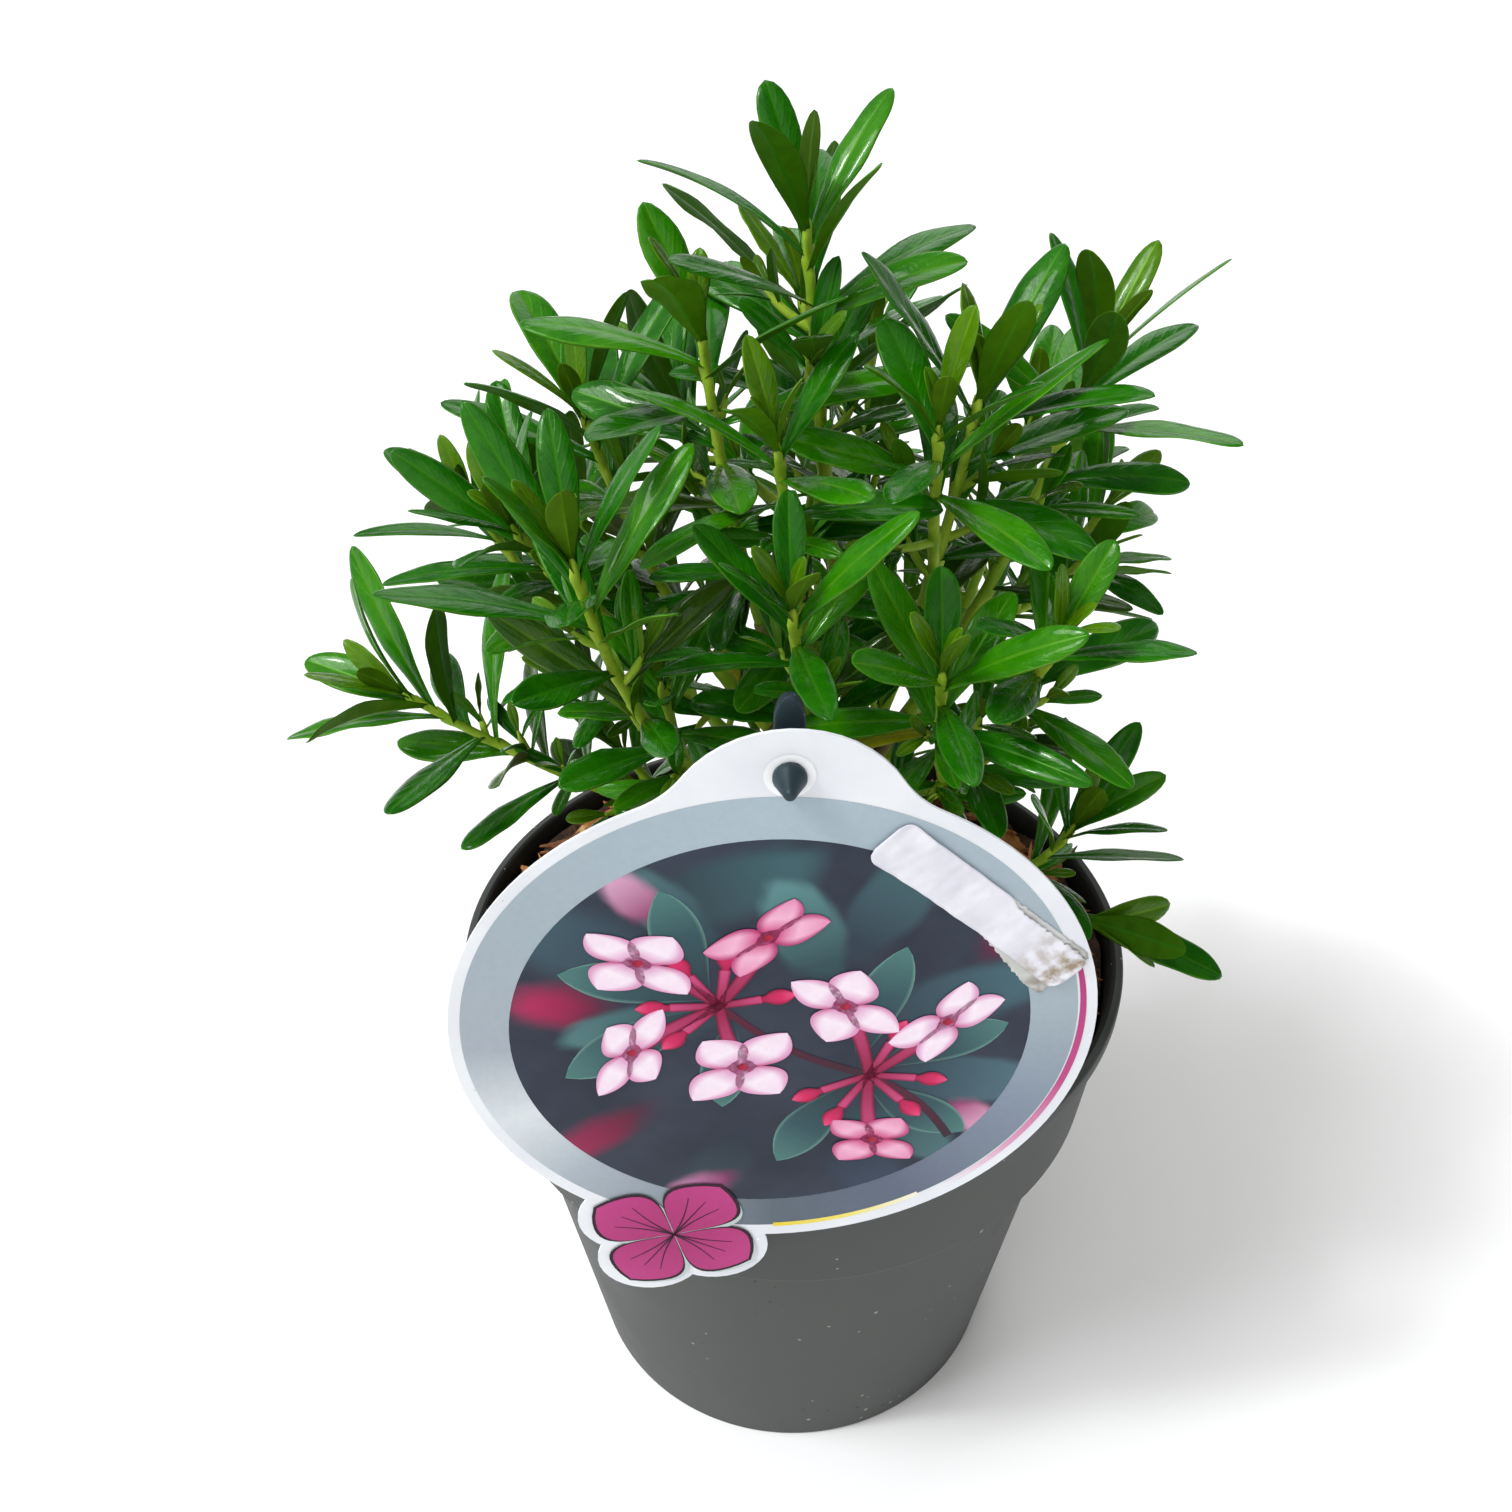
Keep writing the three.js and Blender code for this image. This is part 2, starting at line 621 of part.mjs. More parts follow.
// Leaves of one shoot may touch near their roots, and leaves of two shoots nowhere.
function clearanceOf(spot, owner, other) {
  if (other.owner !== owner) return LEAF_CLEARANCE + other.radius;
  return Math.min(spot.share, other.share) > ROOT_SHARE ? SISTER_CLEARANCE : 0;
}

function meetsAnother(spots, owner) {
  return spots.some((spot) => {
    const [x, y, z] = [cellOf(spot.point.x), cellOf(spot.point.y), cellOf(spot.point.z)];
    for (let dx = -1; dx <= 1; dx += 1) {
      for (let dy = -1; dy <= 1; dy += 1) {
        for (let dz = -1; dz <= 1; dz += 1) {
          const held = occupied.get(cellKey(x + dx, y + dy, z + dz)) ?? [];
          const near = (other) => spot.point.distanceTo(other.point) < clearanceOf(spot, owner, other);
          if (held.some(near)) return true;
        }
      }
    }
    return false;
  });
}

// Spots all over the blade, less than the clearance apart.
function bladeSpots(leaf) {
  const edge = leaf.direction.clone().cross(leaf.normal);
  const rows = Math.max(4, Math.floor(leaf.length / LEAF_CLEARANCE));
  const spots = [];
  for (let row = 1; row <= rows; row += 1) {
    const share = row / rows;
    const spine = midrib(leaf, share);
    const half = SPOT_REACH * halfWidth(leaf, share);
    const places = Math.max(1, Math.ceil(half / SPOT_SPACING));
    for (let place = -places; place <= places; place += 1) {
      spots.push({ point: spine.clone().addScaledVector(edge, (half * place) / places), share });
    }
  }
  return spots;
}

// ---- growing the crown -----------------------------------------------------

// The limbs of one bough: its leader and the side shoots that start along it.
function limbsOf({ fork, bow, shoots }) {
  const leader = new Limb(trunkAt(fork), shoots[0].tip, bow);
  const side = ({ tip, from }) => new Limb(leader.pointBack((1 - from) * leader.length), tip, SIDE_BOW);
  return [leader, ...shoots.slice(1).map(side)];
}

// Adds a shoot's leaves to its mass, from the growing tip down.
function addLeaves(mass, limb, spray, owner, leafy) {
  let grown = mass;
  for (let rank = FIRST_LEAF; rank < spray.leaves; rank += 1) {
    if (leafDistance(rank) > leafy - LOWEST_LEAF) break;
    const draw = seeded(spray.seed * 100 + rank);
    for (let attempt = 0; attempt < LEAF_TRIES; attempt += 1) {
      const leaf = leafOf(limb, spray, rank, draw);
      const spots = bladeSpots(leaf);
      if (!meetsAnother(spots, owner)) {
        occupy(spots, owner);
        grown = settled(grown.add(leafSolid(leaf))) ?? grown;
        break;
      }
    }
  }
  return grown;
}

function occupyLimb(limb, owner, until) {
  for (let distance = 0; distance < until; distance += 1) {
    const spot = { point: limb.pointBack(distance), share: 0 };
    occupy([spot], owner, Math.max(0, radiusBack(distance) - LIMB_ALLOWANCE));
  }
}

function growCrown() {
  const boughs = Object.entries(CROWN).map(([name, plan]) => ({ name, plan, limbs: limbsOf(plan) }));
  boughs.forEach(({ name, limbs }) => {
    limbs.forEach((limb, k) => occupyLimb(limb, `${name}_${k}`, limb.length - FORK_MARGIN[Math.min(k, 1)]));
  });
  const reserve = trunkSolid(GAP);
  return boughs.flatMap(({ name, plan, limbs }) => {
    const [leader] = limbs;
    const bough = limbSolid(leader, leader.length, plan.leafy + GAP, BOUGH_SIDES, 6).subtract(reserve);
    let mass = limbSolid(leader, plan.leafy, 0, TWIG_SIDES, 8);
    limbs.forEach((limb, k) => {
      const leafy = k === 0 ? plan.leafy : limb.length - SIDE_BARE;
      if (k > 0) mass = mass.add(limbSolid(limb, limb.length, 0, TWIG_SIDES, 6));
      mass = addLeaves(mass, limb, plan.shoots[k], `${name}_${k}`, leafy);
    });
    return [
      node(`bough_${name}`, bough, BARK_GREEN),
      node(`mass_${name}`, mass, LEAF_GREEN),
    ];
  });
}

// ---- label and its holder --------------------------------------------------

// A flat plate standing upright, front towards -Y, from an outline in its own plane.
function plate(shape, thickness, curveSegments) {
  return new THREE.ExtrudeGeometry(shape, { depth: thickness, bevelEnabled: false, curveSegments })
    .rotateX(Math.PI / 2)
    .translate(0, thickness, 0);
}

function roundPlate([x, y], radius, segments) {
  const shape = new THREE.Shape().absarc(x, y, radius, 0, 2 * Math.PI, false);
  return solidOf(plate(shape, LABEL_THICKNESS, segments));
}

// The web that runs from the disc to the tab in a hollow curve, on one side (-1 or 1).
function webPlate(side) {
  const [tabX, tabY] = TAB_CENTRE;
  const span = Math.hypot(tabX, tabY);
  const toDisc = LABEL_RADIUS + TAB_FILLET;
  const toTab = TAB_RADIUS + TAB_FILLET;
  const along = (span * span + toDisc * toDisc - toTab * toTab) / (2 * span);
  const off = Math.sqrt(toDisc * toDisc - along * along);
  const [ux, uy] = [tabX / span, tabY / span];
  const centre = [along * ux + side * off * uy, along * uy - side * off * ux];
  const start = Math.atan2(-centre[1], -centre[0]);
  const end = Math.atan2(tabY - centre[1], tabX - centre[0]);
  const shape = new THREE.Shape();
  shape.moveTo(0, 0);
  shape.absarc(centre[0], centre[1], TAB_FILLET, start, end, side > 0);
  shape.lineTo(tabX, tabY);
  shape.closePath();
  return solidOf(plate(shape, LABEL_THICKNESS, 6));
}

function labelSolid() {
  let label = roundPlate([0, 0], LABEL_RADIUS, LABEL_SIDES)
    .add(roundPlate(TAB_CENTRE, TAB_RADIUS, TAB_SIDES))
    .add(webPlate(-1))
    .add(webPlate(1))
    .add(roundPlate(BADGE_CENTRE, BADGE_LOBE, BADGE_SIDES));
  for (let k = 0; k < 4; k += 1) {
    const angle = THREE.MathUtils.degToRad(BADGE_TURN + 90 * k);
    const [x, y] = [BADGE_REACH * Math.cos(angle), BADGE_REACH * Math.sin(angle)];
    const lobe = [BADGE_CENTRE[0] + x, BADGE_CENTRE[1] + y];
    label = label.add(roundPlate(lobe, BADGE_LOBE, BADGE_SIDES));
  }
  const hole = new THREE.CylinderGeometry(TAB_HOLE_RADIUS, TAB_HOLE_RADIUS, 4, 12)
    .translate(TAB_HOLE[0], 0, TAB_HOLE[1]);
  return label.subtract(solidOf(hole));
}

function stripSolid() {
  const [length, width] = STRIP_SIZE;
  const corner = STRIP_CORNER;
  const [x, y] = [length / 2 - corner, width / 2 - corner];
  const shape = new THREE.Shape();
  shape.absarc(x, -y, corner, -Math.PI / 2, 0, false);
  shape.absarc(x, y, corner, 0, Math.PI / 2, false);
  shape.absarc(-x, y, corner, Math.PI / 2, Math.PI, false);
  shape.absarc(-x, -y, corner, Math.PI, 1.5 * Math.PI, false);
  shape.closePath();
  const strip = plate(shape, STRIP_THICKNESS, 4)
    .rotateY(-THREE.MathUtils.degToRad(STRIP_TURN))
    .translate(STRIP_CENTRE[0], -STRIP_THICKNESS - GAP, STRIP_CENTRE[1]);
  return solidOf(strip);
}

function holderSolid() {
  const x = LABEL_CENTRE.x + TAB_HOLE[0];
  const height = LABEL_CENTRE.z + TAB_HOLE[1];
  const rightSide = [
    [STAKE_POINT, STAKE_FOOT], [STAKE_HALF_WIDTH, STAKE_FOOT + 12],
    [STAKE_HALF_WIDTH, STAKE_TOP - 5], [0.9, STAKE_TOP - 0.4], [0.4, STAKE_TOP],
  ];
  const leftSide = rightSide.map(([out, up]) => [-out, up]).reverse();
  const outline = new THREE.Shape([...rightSide, ...leftSide].map(([out, up]) => new THREE.Vector2(out, up)));
  const stake = plate(outline, STAKE_DEPTH, 1).translate(x, STAKE_FRONT, 0);
  const front = LABEL_CENTRE.y - GAP;
  const profile = [
    [0, STAKE_FRONT + 1], [PEG_NECK_RADIUS, STAKE_FRONT + 1], [PEG_NECK_RADIUS, front],
    [PEG_HEAD_RADIUS, front], [PEG_HEAD_RADIUS, front - 0.7],
    [PEG_HEAD_TIP_RADIUS, front - PEG_HEAD_LENGTH + 0.3], [0, front - PEG_HEAD_LENGTH],
  ];
  const peg = new THREE.LatheGeometry(profile.map(([r, y]) => new THREE.Vector2(r, y)).reverse(), 12)
    .translate(x, 0, height);
  return solidOf(stake).add(solidOf(peg));
}

// ---- materials and assembly ------------------------------------------------

const POT_GREY = paint(0x5b5e5e, 0.6);
const COMPOST_BROWN = paint(0x6b3f22, 0.95);
const BARK_BROWN = paint(0x5f4630, 0.85);
const BARK_GREEN = paint(0x8d9a3a, 0.6);
const LEAF_GREEN = paint(0x1f6e1c, 0.35);
const LABEL_WHITE = paint(0xe9ebee, 0.3);
const STRIP_PAPER = paint(0xe4e2e6, 0.6);
const HOLDER_GREEN = paint(0x2c3b3d, 0.45);

const shrub = new THREE.Group();
shrub.name = 'daphne_shrub';
shrub.add(node('pot', potSolid(), POT_GREY));
shrub.add(node('compost', compostSolid(), COMPOST_BROWN));
shrub.add(node('trunk', trunkSolid(), BARK_BROWN));
shrub.add(...growCrown());

const labelGroup = new THREE.Group();
labelGroup.position.copy(LABEL_CENTRE);
labelGroup.rotation.z = THREE.MathUtils.degToRad(LABEL_TURN);
labelGroup.add(node('label', labelSolid(), LABEL_WHITE));
labelGroup.add(node('label_strip', stripSolid(), STRIP_PAPER));
shrub.add(labelGroup);
shrub.add(node('label_holder', holderSolid(), HOLDER_GREEN));

export default shrub;
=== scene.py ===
"""Young daphne shrub in a round nursery pot, with a picture label that hangs on a peg."""

import math
import random
from collections import namedtuple

import bmesh
import bpy
from mathutils import Matrix, Vector, noise


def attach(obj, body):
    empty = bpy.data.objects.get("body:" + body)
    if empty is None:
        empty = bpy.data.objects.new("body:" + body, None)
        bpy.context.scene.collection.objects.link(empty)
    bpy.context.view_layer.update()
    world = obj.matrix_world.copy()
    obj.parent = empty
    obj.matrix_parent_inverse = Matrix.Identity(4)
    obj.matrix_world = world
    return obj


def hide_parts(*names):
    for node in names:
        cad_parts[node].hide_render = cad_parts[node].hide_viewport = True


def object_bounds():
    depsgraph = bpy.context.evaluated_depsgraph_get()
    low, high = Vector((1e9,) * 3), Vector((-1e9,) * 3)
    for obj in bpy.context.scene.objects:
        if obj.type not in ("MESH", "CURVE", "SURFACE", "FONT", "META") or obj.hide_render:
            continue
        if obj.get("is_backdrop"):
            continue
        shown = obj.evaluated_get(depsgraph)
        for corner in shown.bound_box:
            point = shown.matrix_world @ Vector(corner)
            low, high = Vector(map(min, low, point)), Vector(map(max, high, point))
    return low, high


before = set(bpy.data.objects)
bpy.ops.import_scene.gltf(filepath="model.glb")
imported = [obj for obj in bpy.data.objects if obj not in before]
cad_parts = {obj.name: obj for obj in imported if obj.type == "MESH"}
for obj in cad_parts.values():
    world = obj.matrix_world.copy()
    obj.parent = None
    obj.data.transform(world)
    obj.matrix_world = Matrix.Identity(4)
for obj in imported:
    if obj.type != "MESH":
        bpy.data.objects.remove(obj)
cad_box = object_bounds()


# ---- camera ----
# A hand-held view from close by, in front of the pot and looking down on it through a
# short lens, with the frame moved a little up and to the left.

MM = 0.001
EYE = Vector((-2.3, -205.8, 303.0))
DOWNWARD = 39.2  # degrees below level
LENS = 33.33
SENSOR = 36.0
SHIFT = (-0.0171, 0.0534)

camera_data = bpy.data.cameras.new("camera")
camera_data.sensor_width = SENSOR
camera_data.lens = LENS
camera_data.shift_x, camera_data.shift_y = SHIFT
camera_data.clip_start = 0.01
camera = bpy.data.objects.new("camera", camera_data)
camera.location = EYE * MM
camera.rotation_euler = (math.radians(90 - DOWNWARD), 0, 0)
bpy.context.scene.collection.objects.link(camera)
bpy.context.scene.camera = camera


# ---- nursery pot ----
# Thin grey polypropylene, injection moulded: a tapered wall, a stepped band under
# the rim, a small lip, and drain holes in the floor. Handling has left dust and specks.

POT_HEIGHT = 112.0
FOOT_RADIUS = 46.7
WAIST_RADIUS = 57.4
WAIST_HEIGHT = 81.5
BAND_RADIUS = 61.2
RIM_RADIUS = 65.0
LIP_HEIGHT = 3.6
LIP_REACH = 1.5
WALL = 1.4
FLOOR = 2.2
FOOT_RING = 3.6  # breadth of the ring that the pot stands on
FLOOR_LIFT = 0.9  # of the floor's underside, within that ring
CORNER = 0.8
CORNER_SHARE = 0.45  # of the shorter edge, at most
WAIST_STEP = 1.8  # height over which the wall steps out to the band
AXIS_GAP = 0.01  # keeps the middle of the floor open, so that no faces meet in one corner
DRAINS = 8
DRAIN_RADIUS = 3.6
DRAIN_CIRCLE = 36.0
POT_SIDES = 192
ROUNDING_STEPS = 4
OUTER_POINTS = 9 * (ROUNDING_STEPS + 1)  # of the profile, up to the top of the lip

POT_GREYS = (0.047, 0.052, 0.049, 1), (0.068, 0.073, 0.069, 1)
POT_BLACKS = (0.013, 0.013, 0.013, 1), (0.021, 0.020, 0.018, 1)
POT_GLOSS = 0.28
POT_SPECKS = {"Light": (0.30, 0.29, 0.27, 1), "Dark": (0.03, 0.03, 0.03, 1), "Scale": 330.0, "Size": 0.2}
GREY = (0.5, 0.5, 0.5, 1)
EVEN = (1.0, 1.0, 1.0)


def add(tree, kind, inputs=None, **settings):
    """A shader node with its settings, and its inputs linked or set."""
    node = tree.nodes.new("ShaderNode" + kind)
    for name, value in settings.items():
        setattr(node, name, value)
    for name, value in (inputs or {}).items():
        if isinstance(value, bpy.types.NodeSocket):
            tree.links.new(value, node.inputs[name])
        else:
            node.inputs[name].default_value = value
    return node


def maths(tree, operation, first, second=0.0):
    return add(tree, "Math", {0: first, 1: second}, operation=operation).outputs[0]


def carry(tree, value, start, end, first=0.0, last=1.0, kind="LINEAR"):
    """A value between start and end, carried over to one between first and last."""
    ends = {"Value": value, "From Min": start, "From Max": end, "To Min": first, "To Max": last}
    return add(tree, "MapRange", ends, interpolation_type=kind).outputs[0]


def ease(tree, *ends):
    """The same with soft ends."""
    return carry(tree, *ends, kind="SMOOTHSTEP")


def blend(tree, share, first, second):
    """A colour mixed from two, by a share that varies over the surface."""
    return add(tree, "Mix", {0: share, 6: first, 7: second}, data_type="RGBA").outputs[2]


def own_place(tree):
    return add(tree, "TexCoord").outputs["Object"]


def grain(tree, place, scale, **shape):
    return add(tree, "TexNoise", {"Vector": place, "Scale": scale, **shape}).outputs["Fac"]


def shader_group(name, inputs, outputs):
    """An empty node group, what it is given and what it gives: colours, vectors and numbers."""
    kinds = {4: "NodeSocketColor", 3: "NodeSocketVector", 1: "NodeSocketFloat"}
    tree = bpy.data.node_groups.new(name, "ShaderNodeTree")
    for title, value in inputs.items():
        kind = kinds[len(value) if isinstance(value, tuple) else 1]
        tree.interface.new_socket(title, in_out="INPUT", socket_type=kind).default_value = value
    for title in outputs:
        kind = kinds[4 if title == "Color" else 1]
        tree.interface.new_socket(title, in_out="OUTPUT", socket_type=kind)
    return tree, tree.nodes.new("NodeGroupInput").outputs, tree.nodes.new("NodeGroupOutput").inputs


def give(tree, result, **sockets):
    for title, socket in sockets.items():
        tree.links.new(socket, result[title])
    return tree


def mottle_group():
    """Two colours in soft clouds of one size, with a finer height for a bump."""
    takes = {"First": GREY, "Second": GREY, "Scale": 100.0, "Stretch": EVEN}
    tree, given, result = shader_group("mottle", takes, ["Color", "Mask", "Height"])
    place = add(tree, "Mapping", {"Vector": own_place(tree), "Scale": given["Stretch"]}).outputs[0]
    clouds = grain(tree, place, given["Scale"], Detail=4.0, Roughness=0.6)
    mask = ease(tree, clouds, 0.36, 0.64)
    colour = blend(tree, mask, given["First"], given["Second"])
    height = grain(tree, place, maths(tree, "MULTIPLY", given["Scale"], 5.0), Detail=3.0)
    return give(tree, result, Color=colour, Mask=mask, Height=height)


def specks_group():
    """Small scattered specks of two kinds, such as dust and soot, over a colour."""
    takes = {"Color": GREY, "Light": GREY, "Dark": GREY, "Scale": 400.0, "Size": 0.12}
    tree, given, result = shader_group("specks", takes, ["Color"])
    place = own_place(tree)
    crowded = carry(tree, grain(tree, place, 60.0), 0.45, 0.75)
    cells = add(tree, "TexVoronoi", {"Vector": place, "Scale": given["Scale"]})
    size = maths(tree, "MULTIPLY", given["Size"], crowded)
    dot = maths(tree, "LESS_THAN", cells.outputs["Distance"], size)
    random_part = add(tree, "SeparateColor", {0: cells.outputs["Color"]}).outputs[0]
    speck = blend(tree, maths(tree, "GREATER_THAN", random_part, 0.5), given["Light"], given["Dark"])
    return give(tree, result, Color=blend(tree, dot, given["Color"], speck))


MOTTLE = mottle_group()
SPECKS = specks_group()


def material(name, **sockets):
    """A new material with plain settings on its Principled shader, its tree and that shader."""
    made = bpy.data.materials.new(name)
    made.use_nodes = True
    shader = made.node_tree.nodes["Principled BSDF"]
    for socket, value in sockets.items():
        shader.inputs[socket.replace("_", " ")].default_value = value
    return made, made.node_tree, shader


def use(tree, group, **inputs):
    """What a group gives in a material, with its own values."""
    return add(tree, "Group", inputs, node_tree=group).outputs


def bump(tree, shader, height, strength, distance):
    """A bump from a height, on the shader's normal. The distance is in metres."""
    node = add(tree, "Bump", {"Strength": strength, "Distance": distance, "Height": height})
    tree.links.new(node.outputs[0], shader.inputs["Normal"])


def mottled(name, colours, scale, relief=None, specks=None, stretch=EVEN, rough=None, **sockets):
    """A material in clouds of two colours, its tree, its shader and what the clouds give.
    relief is a bump's strength and distance, rough the ends of an uneven roughness."""
    made, tree, shader = material(name, **sockets)
    clouds = use(tree, MOTTLE, First=colours[0], Second=colours[1], Scale=scale, Stretch=stretch)
    colour = use(tree, SPECKS, Color=clouds["Color"], **specks)["Color"] if specks else clouds["Color"]
    tree.links.new(colour, shader.inputs["Base Color"])
    if rough:
        tree.links.new(carry(tree, clouds["Mask"], 0.0, 1.0, *rough), shader.inputs["Roughness"])
    if relief:
        bump(tree, shader, clouds["Height"], *relief)
    return made, tree, shader, clouds


def skin(*looks, **more):
    """A mottled material that needs nothing further."""
    return mottled(*looks, **more)[0]


def pot_plastic(name, colours, gloss):
    made, tree, shader, clouds = mottled(
        name, colours, 26.0, specks=POT_SPECKS, rough=(0.54, 0.68), Specular_IOR_Level=gloss,
    )
    bump(tree, shader, use(tree, MOTTLE, Scale=520.0)["Height"], 0.25, 0.00012)
    return made


def piece(name, corners, faces, materials, slot, replaces=(), kinds=None, smooth=True, maps=None):
    """A piece from corners in millimetres. kinds holds each face's material, maps each corner's UV."""
    mesh = bpy.data.meshes.new(name)
    mesh.from_pydata([Vector(corner) * MM for corner in corners], [], faces)
    for each in materials:
        mesh.materials.append(each)
    if kinds:
        mesh.polygons.foreach_set("material_index", kinds)
    if smooth:
        mesh.polygons.foreach_set("use_smooth", [True] * len(mesh.polygons))
    if maps:
        layer = mesh.uv_layers.new(name="map")
        for loop, found in zip(mesh.loops, layer.uv):
            found.vector = maps[loop.vertex_index]
    mesh.validate()
    mesh.update()
    made = bpy.data.objects.new(name, mesh)
    bpy.context.scene.collection.objects.link(made)
    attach(made, "root")
    if replaces:
        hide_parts(*replaces)
    return made


def turns(count):
    """Cosine and sine of each of count equal turns."""
    for k in range(count):
        turn = 2 * math.pi * k / count
        yield math.cos(turn), math.sin(turn)


def lathe(profile, sides):
    """Corners and faces of a closed profile of radius and height, turned round the upright axis."""
    corners = [(r * cosine, r * sine, z) for cosine, sine in turns(sides) for r, z in profile]
    count = len(profile)
    faces = []
    for k in range(sides):
        here, there = k * count, ((k + 1) % sides) * count
        for j in range(count):
            following = (j + 1) % count
            faces.append((here + j, there + j, there + following, here + following))
    return corners, faces


def curve(start, middle, end, u):
    """A point on the plain curve from start to end that a middle point draws aside."""
    return start * (1 - u) ** 2 + middle * (2 * u * (1 - u)) + end * u ** 2


def rounded(profile, radius, steps):
    """A profile with each of its corners replaced by a short arc, no wider than its edges allow."""
    points = [Vector(point) for point in profile]
    made = []
    for k, corner in enumerate(points):
        before, after = points[k - 1] - corner, points[(k + 1) % len(points)] - corner
        reach = min(radius, CORNER_SHARE * before.length, CORNER_SHARE * after.length)
        start, end = corner + before.normalized() * reach, corner + after.normalized() * reach
        made += [tuple(curve(start, corner, end, step / steps)) for step in range(steps + 1)]
    return made


def pot_profile():
    band_top = POT_HEIGHT - LIP_HEIGHT
    band_top_radius = RIM_RADIUS - LIP_REACH
    ring = FOOT_RADIUS - FOOT_RING
    outside = [
        (AXIS_GAP, FLOOR_LIFT), (ring - 0.6, FLOOR_LIFT), (ring, 0), (FOOT_RADIUS, 0),
        (WAIST_RADIUS, WAIST_HEIGHT - WAIST_STEP), (BAND_RADIUS, WAIST_HEIGHT),
        (band_top_radius, band_top - 0.5), (RIM_RADIUS, band_top), (RIM_RADIUS, POT_HEIGHT),
    ]
    inside = [
        (band_top_radius - WALL + 0.6, POT_HEIGHT), (band_top_radius - WALL, band_top),
        (BAND_RADIUS - WALL, WAIST_HEIGHT + WALL), (WAIST_RADIUS - WALL, WAIST_HEIGHT - WALL),
        (FOOT_RADIUS - WALL, FLOOR), (AXIS_GAP, FLOOR),
    ]
    return rounded(outside + inside, CORNER, ROUNDING_STEPS)


def cut_drains(pot):
    """The ring of drain holes, cut through the pot's floor."""
    drills = bmesh.new()
    for k in range(DRAINS):
        turn = 2 * math.pi * (k + 0.5) / DRAINS
        place = Matrix.Translation(Vector((math.cos(turn), math.sin(turn), 0)) * DRAIN_CIRCLE * MM)
        bmesh.ops.create_cone(
            drills, cap_ends=True, segments=32, radius1=DRAIN_RADIUS * MM, radius2=DRAIN_RADIUS * MM,
            depth=3 * FLOOR * MM, matrix=place,
        )
    mesh = bpy.data.meshes.new("drills")
    drills.to_mesh(mesh)
    drills.free()
    drill = bpy.data.objects.new("drills", mesh)
    bpy.context.scene.collection.objects.link(drill)
    cut = pot.modifiers.new("drains", "BOOLEAN")
    cut.operation = "DIFFERENCE"
    cut.object = drill
    bpy.context.view_layer.objects.active = pot
    bpy.ops.object.modifier_apply(modifier=cut.name)
    bpy.data.objects.remove(drill)


profile = pot_profile()
pot_corners, pot_faces = lathe(profile, POT_SIDES)
pot_kinds = [int(k % len(profile) >= OUTER_POINTS) for k in range(len(pot_faces))]
pot_skins = [
    pot_plastic("pot_outside", POT_GREYS, POT_GLOSS),
    pot_plastic("pot_inside", POT_BLACKS, POT_GLOSS / 2),
]
pot = piece("pot_wall", pot_corners, pot_faces, pot_skins, "pot", ["pot"], pot_kinds)
cut_drains(pot)


# ---- compost ----
# Coarse bark compost, just below the rim: dark fines with red-brown and tan chips
# and splinters of bark lying over each other on the uneven top.

COMPOST_TOP = 106.0
COMPOST_EDGE = 61.2
STEM_FOOT = Vector((8.3, 4.2, COMPOST_TOP + 0.3))
STEM_TOP = Vector((11.0, 6.0, 156.0))
LEVEL_RADIUS = 13.0
LEVEL_BLEND = 10.0
HEAP = 2.2  # how much higher the compost lies at the wall
HEAP_START = 40.0
COMPOST_RINGS = 60
COMPOST_SPOKES = 160
FINES = (0.030, 0.014, 0.008, 1), (0.085, 0.036, 0.017, 1)
SWELL = ((1.1, 0.23, 0.19), (0.7, 0.51, 0.43))  # two waves of the top: height, and turn a mm
LUMP_SIZE, LUMP_HEIGHT = 0.45, 0.8
WALL_GAP = 0.4

CHIPS = 1500
SPLINTERS = 340
CHIP_RINGS, CHIP_SIDES = 5, 6
SHORT_SHARE = 0.85  # of the chips
SHORT_CHIP, LONG_CHIP, SPLINTER = (2.2, 9.5), (9, 15), (5, 14)  # lengths
CHIP_BREADTH, CHIP_THICKNESS = (0.25, 0.5), (0.5, 1.7)  # breadth as a share of length
SPLINTER_BREADTH, SPLINTER_THICKNESS = (0.3, 0.8), (0.3, 0.6)
LARGE = 8  # from this length on, a chip lies higher and flatter
LIFT, LARGE_LIFT = (-0.3, 1.9), (0.6, 2.6)
STEEP, LARGE_STEEP, ROLL = 26, 12, 35  # degrees either way
BARE_RADIUS = 5  # round the stem's foot
CHIP_COLOURS = {
    "bark_orange": ((0.52, 0.230, 0.070, 1), (0.34, 0.130, 0.038, 1)),
    "bark_red": ((0.28, 0.105, 0.036, 1), (0.16, 0.056, 0.020, 1)),
    "bark_dark": ((0.090, 0.040, 0.018, 1), (0.040, 0.019, 0.010, 1)),
    "bark_tan": ((0.60, 0.36, 0.17, 1), (0.42, 0.21, 0.085, 1)),
}
CHIP_SHARES = (0.42, 0.27, 0.13, 0.18)
CHIP_BOW = 0.12
CHIP_TAPER = (0.35, 0.8)
CHIP_RAG = 0.09  # how far an end's corners stray, as a share of length
CHIP_UNEVEN, CHIP_LUMPY = (0.75, 1.2), (0.7, 1.3)  # in breadth and in thickness


def held(value):
    """A value kept between 0 and 1."""
    return min(max(value, 0), 1)


def compost_height(x, y):
    """Height of the compost, uneven but level round the stem's foot."""
    away = math.hypot(x - STEM_FOOT.x, y - STEM_FOOT.y) - LEVEL_RADIUS
    share = held(away / LEVEL_BLEND)
    (broad, along, across), (fine, turn_x, turn_y) = SWELL
    swell = broad * math.sin(along * x + 1) * math.cos(across * y)
    swell += fine * math.sin(turn_x * x - turn_y * y)
    heap = HEAP * held((math.hypot(x, y) - HEAP_START) / (COMPOST_EDGE - HEAP_START))
    return COMPOST_TOP + share * share * (3 - 2 * share) * swell + heap


